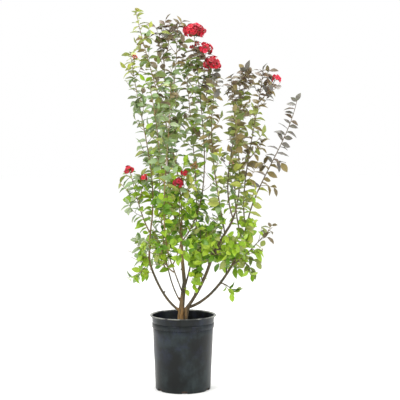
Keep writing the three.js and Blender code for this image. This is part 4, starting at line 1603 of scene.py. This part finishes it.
@dataclass
class Stem:
    """A tapering stem: a leading shoot, a fork or a twig."""

    run: Run
    radii: Span
    bloom: float = 0.0


@dataclass
class LeafSpot:
    """Where one leaf grows, how it is turned and how long it is."""

    root: Vector
    ahead: Vector
    upper: Vector
    length: float

    def matrix(self) -> Matrix:
        """Gives the matrix that takes a leaf form to the spot.

        Returns:
            The matrix.
        """
        across = self.upper.cross(self.ahead).normalized()
        upper = self.ahead.cross(across)
        turn = Matrix((self.ahead, across, upper)).transposed().to_4x4()
        return Matrix.Translation(self.root) @ turn @ Matrix.Scale(self.length, 4)


class Space:
    """What a mass keeps to: its own reach, its side of its neighbours, and off the wood."""

    ALLOWANCE = 0.007
    WAND_ALLOWANCE = 0.018
    OVERLAP = 0.022
    STEP = 0.012
    WOOD_CLEARANCE = 0.008

    def __init__(self, name: str, stems: dict[str, list[Stem]], wood: Wood) -> None:
        """Gathers the stems and limbs that bound a mass.

        Args:
            name: The mass.
            stems: The shoots of every mass.
            wood: The trunk and boughs.
        """
        is_ranked = MASSES[name].habit.value.ranked
        low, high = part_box("foliage_" + name)
        lift = UP * wood.soil
        grown = Vector((self.WAND_ALLOWANCE if is_ranked else self.ALLOWANCE,) * 3)
        self.low, self.high = low - lift - grown, high - lift + grown
        own = [stem.run for stem in stems[name]]
        others = [stem.run for other in stems if other != name for stem in stems[other]]
        self.own, self.others, self.wood = (
            tree_of([point for run in runs for point in run.spaced(self.STEP)])
            for runs in (own, others, wood.runs.values()))

    def fits(self, points: Sequence[Vector]) -> bool:
        """Tells whether points lie in the mass's own space.

        Args:
            points: The points over the soil.

        Returns:
            Whether all of them do.
        """
        for point in points:
            if any(not low <= value <= high
                   for low, value, high in zip(self.low, point, self.high)):
                return False
            if self.others.find(point)[2] - self.own.find(point)[2] < -self.OVERLAP:
                return False
            if self.wood.find(point)[2] < self.WOOD_CLEARANCE:
                return False
        return True


@dataclass
class Growth:
    """Grows one mass: twigs up its stems, then leaves up everything."""

    habit: Habit
    space: Space
    stream: Stream
    crowding: Crowding
    sight: Sight
    twigs: list[Stem] = field(default_factory=list)
    leaves: list[tuple[LeafTone, LeafSpot]] = field(default_factory=list)
    attempts: int = 10
    turn_jitter: float = 0.5
    size_jitter: float = 0.18
    bare_length: float = 0.014
    twig_angle: float = math.radians(55.0)
    leaf_angle: float = math.radians(62.0)
    lean_jitter: float = 0.2
    middle: float = 0.55
    twig_foot: float = 0.08
    twig_reach: float = 0.84
    twig_radii: Span = (0.0013, 0.0007)
    twig_tests: Place = (0.4, 0.7, 1.0)
    spray: int = 7
    same_tone: float = 0.45
    tip_size: float = 0.8
    tip_start: float = 0.6
    last_share: float = 0.995
    tip_crowding: float = 1.3

    def add_leaf(self, stem: Stem, share: float, first_turn: float, tone: LeafTone,
                 is_last: bool) -> None:
        """Sets one leaf at a share of a stem, turned on until it fits, or leaves it out.

        Args:
            stem: The stem that carries it.
            share: Where on the stem.
            first_turn: The first turn about the stem to try.
            tone: The leaf's colour.
            is_last: Whether it ends the stem.
        """
        along = stem.run.heading(share)
        root = stem.run.at(share)
        length = self.habit.leaf_length * (1.0 + self.stream.spread(self.size_jitter))
        past = max(0.0, share - self.tip_start)
        length *= 1.0 - (1.0 - self.tip_size) * past / (1.0 - self.tip_start)
        roll = self.stream.spread(self.habit.roll)
        droop = self.habit.droop * self.stream.draw()
        lean = self.leaf_angle + self.stream.spread(self.lean_jitter)
        for attempt in range(1 if self.habit.ranked else self.attempts):
            side = sideways(along, first_turn + attempt * GOLDEN_ANGLE)
            ahead = along if is_last else leaning(along, side, lean)
            ahead = (ahead - UP * droop).normalized()
            facing = side if is_last else leaning(along, side, lean - math.pi / 2.0)
            if self.habit.ranked:
                facing = OPEN_FACE
            upper = Quaternion(ahead, roll) @ facing
            spot = LeafSpot(root, ahead, upper, length)
            middle, tip = root + ahead * length * self.middle, root + ahead * length
            if self.space.fits((middle, tip)) and self.crowding.takes(middle):
                if not self.sight.stays_clear((middle, tip), self.stream.draw()):
                    self.leaves.append((tone, spot))
                return

    def add_leaves(self, stem: Stem) -> None:
        """Sets leaves along a stem from past its foot to its tip, each turned on.

        Args:
            stem: The stem.
        """
        length = stem.run.length
        start = min(0.5, self.bare_length / length)
        count = max(1, round(length * (1.0 - start) / self.habit.leaf_spacing))
        turn = self.stream.draw() * FULL_TURN
        last_is_leaf = stem.bloom == 0.0
        for index in range(1, count + 1):
            share = start + (1.0 - start) * (1.0 - (1.0 - index / count) ** self.tip_crowding)
            if (index - 1) % self.spray == 0:
                tones = patch_tones(stem.run.at(share))
                common = self.stream.one_of(tones)
            tone = common if self.stream.draw() < self.same_tone else self.stream.one_of(tones)
            turn += GOLDEN_ANGLE + self.stream.spread(self.turn_jitter / 2.0)
            if self.habit.ranked:
                turn = (index + 0.5) * math.pi + self.stream.spread(self.turn_jitter)
            self.add_leaf(stem, min(share, self.last_share), turn, tone,
                          index == count and last_is_leaf)

    def add_twig(self, stem: Stem, share: float, first_turn: float) -> None:
        """Sets one side twig at a share of a shoot, turned on until it fits.

        Args:
            stem: The shoot.
            share: Where on the shoot.
            first_turn: The first turn about the shoot to try.
        """
        low, high = self.habit.twig_lengths
        length = (low + (high - low) * share) * (1.0 + self.stream.spread(self.size_jitter))
        along = stem.run.heading(share)
        foot = stem.run.at(share)
        for attempt in range(self.attempts):
            side = sideways(along, first_turn + attempt * GOLDEN_ANGLE)
            outward = leaning(along, side, self.twig_angle)
            elbow = foot + outward * length * 0.5
            upward = outward.lerp(UP, self.habit.twig_rise).normalized()
            run = Run(foot, elbow, elbow + upward * length * 0.5)
            if self.space.fits([run.at(part) for part in self.twig_tests]):
                self.twigs.append(Stem(run, self.twig_radii))
                return

    def add_twigs(self, stem: Stem) -> None:
        """Sets side twigs up a shoot, shorter towards its tip.

        Args:
            stem: The shoot.
        """
        count = int(stem.run.length / self.habit.twig_spacing)
        turn = self.stream.draw() * FULL_TURN
        for index in range(1, count):
            turn += GOLDEN_ANGLE + self.stream.spread(self.turn_jitter / 2.0)
            self.add_twig(stem, self.twig_foot + index / count * self.twig_reach, turn)

    def grow(self, stems: Sequence[Stem]) -> None:
        """Grows the whole mass.

        Args:
            stems: Its leading shoot and forks.
        """
        for stem in stems:
            self.add_twigs(stem)
        for stem in [*self.twigs, *stems]:
            self.add_leaves(stem)


@dataclass
class Crowding:
    """Keeps the leaves of the whole crown from lying in each other, by cells that fill up."""

    cell: float = 0.010
    most: int = 2
    counts: dict[tuple[int, int, int], int] = field(default_factory=dict)

    def takes(self, place: Vector) -> bool:
        """Counts a leaf into its cell, unless the cell is full.

        Args:
            place: The leaf's middle.

        Returns:
            Whether there was room.
        """
        key = (round(place.x / self.cell), round(place.y / self.cell), round(place.z / self.cell))
        if self.counts.get(key, 0) >= self.most:
            return False
        self.counts[key] = self.counts.get(key, 0) + 1
        return True


@dataclass
class Crown:
    """Everything that grows on from the boughs: shoots, twigs, leaves, flowers and seed heads."""

    wood: Wood
    seed: int = 41
    side_angle: float = math.radians(42.0)
    leaving_share: float = 0.3
    arriving_share: float = 0.35
    bow_scale: float = 1.8
    bow_low_share: float = -0.1
    shoot_radii: Span = (0.0030, 0.0011)
    fork_radii: Span = (0.0021, 0.0009)
    last_leaf: float = 0.6
    sprig_radii: Span = (0.0013, 0.0008)
    sprig_bow: float = 0.15
    sprig_leafed: float = 0.7
    sprig_angles: Span = (0.25, math.radians(58.0))
    sprig_hang: Span = (0.6, 0.4)
    sprig_jitter: Place = (0.6, 0.7, 0.12)
    knuckles: Span = (0.94, 1.12)
    shoot_mesh: tuple[int, float] = (7, 0.010)
    twig_mesh: tuple[int, float] = (5, 0.012)
    creases: Span = (50.0, 40.0)
    stems: dict[str, list[Stem]] = field(default_factory=dict)
    twigs: list[Stem] = field(default_factory=list)
    leaves: list[tuple[LeafTone, LeafSpot, bool]] = field(default_factory=list)

    def shoot(self, parent: Run, reach: Reach, last_leaf: float) -> Run:
        """Gives the curve of a shoot that stops a last leaf short of its reach.

        Args:
            parent: The curve that it leaves.
            reach: Where it leaves and how far it gets.
            last_leaf: The length of the leaf that ends it.

        Returns:
            The shoot's curve.
        """
        foot = parent.at(reach.at)
        along = parent.heading(reach.at)
        tip = Vector(reach.tip) * MM
        heading = (tip - foot).normalized()
        end = tip - heading * (0.0 if reach.bloom else last_leaf)
        length = (end - foot).length
        side = (heading - along * heading.dot(along)).normalized()
        leaving = along if reach.at == 1.0 else leaning(along, side, self.side_angle)
        swing = Vector((*reach.bow, 0.0)) * MM * self.bow_scale
        low = foot + leaving * length * self.leaving_share + swing * self.bow_low_share
        high = end - heading * length * self.arriving_share + swing
        return Run(foot, low, high, end)

    def lay_out(self) -> None:
        """Works out the shoots of every mass."""
        for name, plan in MASSES.items():
            last_leaf = plan.habit.value.leaf_length * self.last_leaf
            leader = self.shoot(self.wood.runs[plan.on], plan.leader, last_leaf)
            found = [Stem(leader, self.shoot_radii, plan.leader.bloom * MM)]
            for fork in plan.forks:
                run = self.shoot(leader, fork, last_leaf)
                found.append(Stem(run, self.fork_radii, fork.bloom * MM))
            self.stems[name] = found

    def grow(self) -> None:
        """Grows every mass by the same rule from its own seed."""
        crowding = Crowding()
        sight = Sight(self.wood, self.stems)
        for index, (name, plan) in enumerate(MASSES.items()):
            space = Space(name, self.stems, self.wood)
            growth = Growth(plan.habit.value, space, Stream(self.seed + index), crowding, sight)
            growth.grow(self.stems[name])
            self.twigs += growth.twigs
            self.leaves += [(tone, spot, plan.habit.value.broad) for tone, spot in growth.leaves]
            LOG.info("%s: %d twigs, %d leaves", name, len(growth.twigs), len(growth.leaves))
        stream = Stream(self.seed)
        for plan in SPRIGS:
            self.add_sprig(plan, stream)

    def add_sprig(self, plan: Sprig, stream: Stream) -> None:
        """Sets one short twig and its leaves, which stand in turn on either side of it.

        Args:
            plan: The twig.
            stream: The stream of chance.
        """
        turns, rolls, sizes = self.sprig_jitter
        carrier = self.wood.runs.get(plan.on) or self.stems[plan.on][0].run
        foot = carrier.at(plan.at)
        tip = Vector(plan.tip) * MM
        run = Run(foot, foot.lerp(tip, 0.5) + UP * (tip - foot).length * self.sprig_bow, tip)
        self.twigs.append(Stem(run, self.sprig_radii))
        for index in range(plan.count):
            share = 1.0 - self.sprig_leafed * index / plan.count
            along = run.heading(share)
            side = sideways(along, (index + 0.5) * math.pi + stream.spread(turns))
            ahead = leaning(along, side, self.sprig_angles[index > 0])
            least, more = self.sprig_hang
            ahead = (ahead - UP * plan.hang * (least + more * stream.draw())).normalized()
            upper = Quaternion(ahead, stream.spread(rolls)) @ OPEN_FACE
            length = plan.leaf_length * MM * (1.0 + stream.spread(sizes))
            tone = stream.one_of(plan.tones)
            self.leaves.append((tone, LeafSpot(run.at(share), ahead, upper, length), True))

    def tube(self, stem: Stem, sides: int, step: float) -> Pattern:
        """Gives a stem as a closed tapering tube, a little thicker at every other ring.

        Args:
            stem: The stem.
            sides: Points in a ring.
            step: How far apart the rings are.

        Returns:
            The tube's pattern.
        """
        lift = UP * self.wood.soil
        count = max(2, round(stem.run.length / step))
        rings = []
        side = sideways(stem.run.heading(0.0), 0.0)
        for index in range(count + 1):
            share = index / count
            along = stem.run.heading(share)
            side = (side - along * side.dot(along)).normalized()
            other = along.cross(side)
            knuckle = self.knuckles[index % 2]
            radius = (stem.radii[0] + (stem.radii[1] - stem.radii[0]) * share) * knuckle
            centre = stem.run.at(share) + lift
            rings += [centre + side * radius * math.cos(turn) + other * radius * math.sin(turn)
                      for turn in (corner / sides * FULL_TURN for corner in range(sides))]
        corners, starts = [], []
        for ring in range(count):
            for corner in range(sides):
                here = ring * sides + corner
                following = ring * sides + (corner + 1) % sides
                starts.append(len(corners))
                corners += [here, following, following + sides, here + sides]
        for cap in (range(sides)[::-1], range(count * sides, (count + 1) * sides)):
            starts.append(len(corners))
            corners += cap
        return Pattern(np.array(rings), np.array(corners), np.array(starts),
                       np.zeros(len(starts), int))

    def build_stems(self) -> None:
        """Models the shoots and the twigs as joined tubes."""
        shoots = [self.tube(stem, *self.shoot_mesh) for found in self.stems.values() for stem in found]
        twigs = [self.tube(stem, *self.twig_mesh) for stem in self.twigs]
        bark = BarkFinish("young_bark", "625443", "59513f", "7a6a4e", "3b3128", flake=(0.58, 0.7))
        skin = PlainFinish("twig_skin", "7a6a48", 0.6)
        for name, tubes, finish in (("leading_shoots", shoots, bark), ("side_twigs", twigs, skin)):
            Bench.set_out(name, Pattern.joined(tubes), self.creases[0], "bark", [finish.material()])

    def build_leaves(self) -> None:
        """Models the leaf forms and copies them to every spot, one piece for each tone."""
        narrow = [form.model() for form in NARROW_LEAVES]
        broad = [form.model() for form in BROAD_LEAVES]
        stream = Stream(self.seed)
        lift = Matrix.Translation(UP * self.wood.soil)
        dealt: dict[LeafTone, list[Pattern]] = {tone: [] for tone in LeafTone}
        for tone, spot, is_broad in self.leaves:
            form = stream.one_of(broad if is_broad else narrow)
            dealt[tone].append(form.moved(lift @ spot.matrix()))
        nodes = self.nodes_by_slot()
        for tone, patterns in dealt.items():
            slot = "foliage_" + tone.value[2]
            Bench.set_out(f"leaves_{tone.name.lower()}", Pattern.joined(patterns), self.creases[1],
                          slot, [tone.finish(under).material() for under in (False, True)],
                          nodes.pop(slot, ()))

    def nodes_by_slot(self) -> dict[str, list[str]]:
        """Sorts the frame's foliage nodes by the material slot that the record gives them.

        Returns:
            The nodes' names by slot.
        """
        found: dict[str, list[str]] = {}
        for subpart in frame["record"]["subparts"]:
            if subpart["node"].startswith("foliage_"):
                found.setdefault(subpart["material_slot"], []).append(subpart["node"])
        return found


# --- flowers and seed heads
class PetalTone(Enum):
    """The reds of the petals."""

    SCARLET = "c20d2a"
    CRIMSON = "9a0820"
    ROSE = "c81c3c"


class TuftKind(Enum):
    """What a small tuft on a twig is made of, and its colour."""

    BUDS = ("red_bud", "a81c28", 0.0034)
    SPENT = ("spent_flower", "6d1620", 0.0046)
    # Buds painted a darker red for the shade that they sit in under a flower head.
    ORANGE = ("opening_bud", "c4502c", 0.0036)
    TAN = ("tan_capsule", "a98252", 0.0052)
    GREY = ("grey_capsule", "77706a", 0.0042)
    PINK = ("pink_bract", "b8847a", 0.0036)


@dataclass(frozen=True)
class Tuft:
    """A small tuft of buds or seed capsules: its kind, middle, reach and number."""

    kind: TuftKind
    place: Place
    reach: float
    count: int


TUFTS = (
    Tuft(TuftKind.BUDS, (0.058, -0.030, 1.148), 0.014, 9),
    Tuft(TuftKind.BUDS, (0.036, -0.030, 1.138), 0.011, 7),
    # Painted shade: darker red buds under the flower head.
    Tuft(TuftKind.SPENT, (0.074, -0.022, 1.046), 0.013, 8),
    Tuft(TuftKind.ORANGE, (0.017, -0.050, 0.554), 0.014, 8),
    Tuft(TuftKind.ORANGE, (-0.200, 0.052, 1.105), 0.013, 8),
    Tuft(TuftKind.TAN, (0.045, -0.025, 0.655), 0.016, 9),
    Tuft(TuftKind.GREY, (0.163, -0.080, 0.681), 0.010, 4),
    Tuft(TuftKind.GREY, (0.190, -0.080, 0.727), 0.010, 4),
    Tuft(TuftKind.PINK, (0.199, -0.080, 0.672), 0.013, 6),
)


@dataclass
class Flowers:
    """The red flower heads at the tips that bloom, and the small tufts of buds and capsules."""

    crown: Crown
    seed: int = 101
    petals: int = 6
    petal_length: float = 0.0108
    petal_rise: float = math.radians(24.0)
    crowding: float = 38000.0
    shell: float = 0.76
    squash: float = 0.62
    small_squash: float = 0.95
    full_bloom: float = 0.035
    lowest: float = -0.62
    bud_radius: float = 0.0026
    stamen_radius: float = 0.0011
    calyx_radius: float = 0.0024
    pedicel: Span = (0.0007, 0.0005)
    tuft_stalk: Span = (0.0011, 0.0007)
    tuft_depth: float = 1.7
    shell_jitter: float = 0.27
    bud_inset: float = 0.05
    tilt: float = 0.35
    petal_jitter: float = 0.14
    bud_jitter: float = 0.25
    stamen_rise: float = 0.003
    calyx_drop: float = 0.0008
    foot_step: float = 0.02
    crease: float = 50.0
    blossoms: dict[PetalTone, list[Pattern]] = field(default_factory=dict)
    stamens: list[Pattern] = field(default_factory=list)
    calyxes: list[Pattern] = field(default_factory=list)
    buds: list[Pattern] = field(default_factory=list)
    stalks: list[Stem] = field(default_factory=list)

    def blossom_forms(self) -> list[Pattern]:
        """Models three flowers of unit petal length, facing up, from crinkled petals.

        Returns:
            Their patterns.
        """
        forms = []
        for variety in range(3):
            petal = PetalForm(seed=variety + 2).model()
            rise = Quaternion(Vector((0.0, 1.0, 0.0)), -self.petal_rise)
            ring = []
            for index in range(self.petals):
                turn = Quaternion(UP, (index + 0.12 * (index % 2)) / self.petals * FULL_TURN)
                ring.append(petal.moved((turn @ rise).to_matrix().to_4x4()))
            forms.append(Pattern.joined(ring))
        return forms

    @staticmethod
    def facing(place: Vector, outward: Vector, turn: float, size: float) -> Matrix:
        """Gives the matrix that sets a form at a place, facing outward, at a size."""
        aim = UP.rotation_difference(outward) @ Quaternion(UP, turn)
        return Matrix.Translation(place) @ aim.to_matrix().to_4x4() @ Matrix.Scale(size, 4)

    def head(self, stem: Stem, stream: Stream, forms: dict[str, list[Pattern]]) -> None:
        """Sets the flowers, buds and stalks of one head.

        Args:
            stem: The stem that ends in the head.
            stream: The stream of chance.
            forms: The modelled small parts by name.
        """
        centre = stem.run.at(1.0)
        count = max(3, round(stem.bloom ** 2 * self.crowding))
        squash = self.squash if stem.bloom > self.full_bloom else self.small_squash
        for index in range(count + count // 2):
            is_bud = index >= count
            step = (index - count) / (count // 2) if is_bud else (index + 0.5) / count
            outward = spiral(index, 1.0 + (self.lowest - 1.0) * step)
            inset = self.bud_inset if is_bud else 0.0
            reach = stem.bloom * (self.shell + stream.spread(self.shell_jitter) - inset)
            place = centre + Vector((outward.x, outward.y, outward.z * squash)) * reach
            aside = sideways(outward, stream.draw() * FULL_TURN)
            tilted = (outward + aside * self.tilt).normalized()
            twist = stream.draw() * FULL_TURN
            low = centre - UP * stem.bloom * 0.5
            self.stalks.append(Stem(Run(low, (low + place) * 0.5 + UP * 0.002, place), self.pedicel))
            if is_bud:
                size = self.bud_radius * (1.0 + stream.spread(self.bud_jitter))
                self.buds.append(forms["bud"][0].moved(self.facing(place, tilted, twist, size)))
                continue
            size = self.petal_length * (1.0 + stream.spread(self.petal_jitter))
            tone = stream.one_of(list(PetalTone))
            blossom = stream.one_of(forms["blossom"])
            self.blossoms.setdefault(tone, []).append(
                blossom.moved(self.facing(place, tilted, twist, size)))
            self.stamens.append(forms["stamens"][0].moved(
                self.facing(place + tilted * self.stamen_rise, tilted, twist, self.stamen_radius)))
            self.calyxes.append(forms["calyx"][0].moved(
                self.facing(place - tilted * self.calyx_drop, tilted, twist, self.calyx_radius)))

    def nearest(self, place: Vector) -> Vector:
        """Gives the nearest point on a shoot that lies lower than a place."""
        points = [point for found in self.crown.stems.values() for stem in found
                  for point in stem.run.spaced(self.foot_step) if point.z < place.z - self.foot_step]
        return min(points, key=lambda point: (point - place).length)

    def tuft(self, plan: Tuft, stream: Stream, form: Pattern) -> list[Pattern]:
        """Sets one tuft on a twig of its own.

        Args:
            plan: The tuft.
            stream: The stream of chance.
            form: The bud or capsule that it is made of.

        Returns:
            Its parts.
        """
        middle = Vector(plan.place)
        foot = self.nearest(middle)
        elbow = foot.lerp(middle, 0.6) - UP * 0.006
        self.stalks.append(Stem(Run(foot, elbow, middle + UP * plan.reach * 0.6), self.tuft_stalk))
        made = []
        for index in range(plan.count):
            outward = spiral(index, 1.0 - self.tuft_depth * (index + 0.5) / plan.count)
            place = middle + outward * plan.reach * (0.75 + stream.spread(0.25))
            self.stalks.append(Stem(Run(middle, (middle + place) * 0.5, place), self.pedicel))
            size = plan.kind.value[2] * (1.0 + stream.spread(0.2))
            made.append(form.moved(self.facing(place, outward, stream.draw() * 6.0, size)))
        return made

    def hand_over(self, name: str, slot: str, patterns: list[Pattern], finish: PlainFinish) -> None:
        """Joins small parts into one piece and hands it over."""
        parts = Pattern.joined(patterns).moved(Matrix.Translation(UP * self.crown.wood.soil))
        Bench.set_out(name, parts, self.crease, slot, [finish.material()])

    def build(self) -> None:
        """Models every head and tuft and hands them over, each kind apart."""
        stream = Stream(self.seed)
        forms = {"blossom": self.blossom_forms(), "bud": [SmallParts.bud()],
                 "stamens": [SmallParts.stamens()], "calyx": [SmallParts.calyx()]}
        for found in self.crown.stems.values():
            for stem in found:
                if stem.bloom:
                    self.head(stem, stream, forms)
        for tone, patterns in self.blossoms.items():
            finish = PlainFinish(f"petal_{tone.name.lower()}", tone.value, 0.55, 0.15)
            self.hand_over(f"petals_{tone.name.lower()}", "flower_red", patterns, finish)
        for name, slot, parts, looks in (
                ("stamens", "foliage_lime", self.stamens, ("stamen_yellow", "b5562a", 0.6)),
                ("calyxes", "foliage_olive", self.calyxes, ("calyx_green", "7a6a3c", 0.55)),
                ("flower_buds", "flower_red", self.buds, ("bud_red", "8e2a2c", 0.5))):
            self.hand_over(name, slot, parts, PlainFinish(*looks))
        capsule = SmallParts.capsule()
        for kind in TuftKind:
            dry = kind in (TuftKind.TAN, TuftKind.GREY)
            parts = [part for plan in TUFTS if plan.kind is kind
                     for part in self.tuft(plan, stream, capsule if dry else forms["bud"][0])]
            name, colour, _ = kind.value
            self.hand_over(f"{name}s", "foliage_bronze", parts, PlainFinish(name, colour, 0.6))
        tubes = [self.crown.tube(stem, 4, 0.012) for stem in self.stalks]
        Bench.set_out("flower_stalks", Pattern.joined(tubes), self.crease, "bark",
                      [PlainFinish("stalk_green", "7d7446", 0.6).material()])


# --- the studio
LAMPS = (("key_light", (-2.2, -2.8, 3.2), 1.6, 95.0), ("fill_light", (2.6, -2.2, 1.8), 2.0, 34.0),
         ("top_light", (0.2, 0.6, 3.6), 2.0, 80.0))


@dataclass
class Studio:
    """A plain pale floor, soft light from all round and the camera."""

    lamp_aim: Place = (0.0, 0.0, 0.8)
    camera_place: Place = (0.070, -4.400, 1.000)
    camera_aim: Place = (0.070, 0.0, 0.782)
    lens: float = 96.3
    floor_size: float = 60.0
    sky: float = 1.0
    floor_glow: float = 0.12

    @staticmethod
    def point(name: str, thing: bpy.types.ID, place: Place, aim: Place) -> Piece:
        """Sets a light or a camera at a place and points it.

        Args:
            name: Its name.
            thing: The light or the camera.
            place: Where it stands.
            aim: What it points at.

        Returns:
            The object that holds it.
        """
        holder = bpy.data.objects.new(name, thing)
        holder.location = place
        way = Vector(aim) - Vector(place)
        holder.rotation_euler = way.to_track_quat("-Z", "Y").to_euler()
        bpy.context.scene.collection.objects.link(holder)
        return holder

    def build(self) -> None:
        """Sets up floor, light and camera."""
        scene = bpy.context.scene
        scene.view_settings.view_transform = "Standard"
        Bench.clear()
        bpy.ops.mesh.primitive_plane_add(size=self.floor_size)
        floor = Bench.active()
        floor.name = "studio_floor"
        floor.data.materials.append(NodeBoard("studio_white").surface({
            "Base Color": linear("f4f4f2"), "Roughness": 0.9,
            "Emission Color": linear("ffffff"), "Emission Strength": self.floor_glow}))
        world = bpy.data.worlds.new("studio_light")
        world.use_nodes = True
        backdrop = world.node_tree.nodes["Background"]
        backdrop.inputs["Color"].default_value = (1.0, 1.0, 1.0, 1.0)
        backdrop.inputs["Strength"].default_value = self.sky
        scene.world = world
        for name, place, size, power in LAMPS:
            lamp = bpy.data.lights.new(name, "AREA")
            lamp.shape, lamp.size, lamp.energy = "DISK", size, power
            self.point(name, lamp, place, self.lamp_aim)
        lens = bpy.data.cameras.new("camera")
        lens.lens = self.lens
        scene.camera = self.point("camera", lens, self.camera_place, self.camera_aim)


def main() -> None:
    """Builds the potted shrub and the studio round it, and writes how large it came out."""
    logging.basicConfig(level=logging.INFO, format="%(message)s")
    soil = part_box("potting_mix")[1].z
    Studio().build()
    Pot().build()
    PottingMix(soil).build()
    wood = Wood(soil)
    wood.build()
    crown = Crown(wood)
    crown.lay_out()
    crown.grow()
    crown.build_stems()
    crown.build_leaves()
    Flowers(crown).build()


if __name__ == "__main__":
    main()
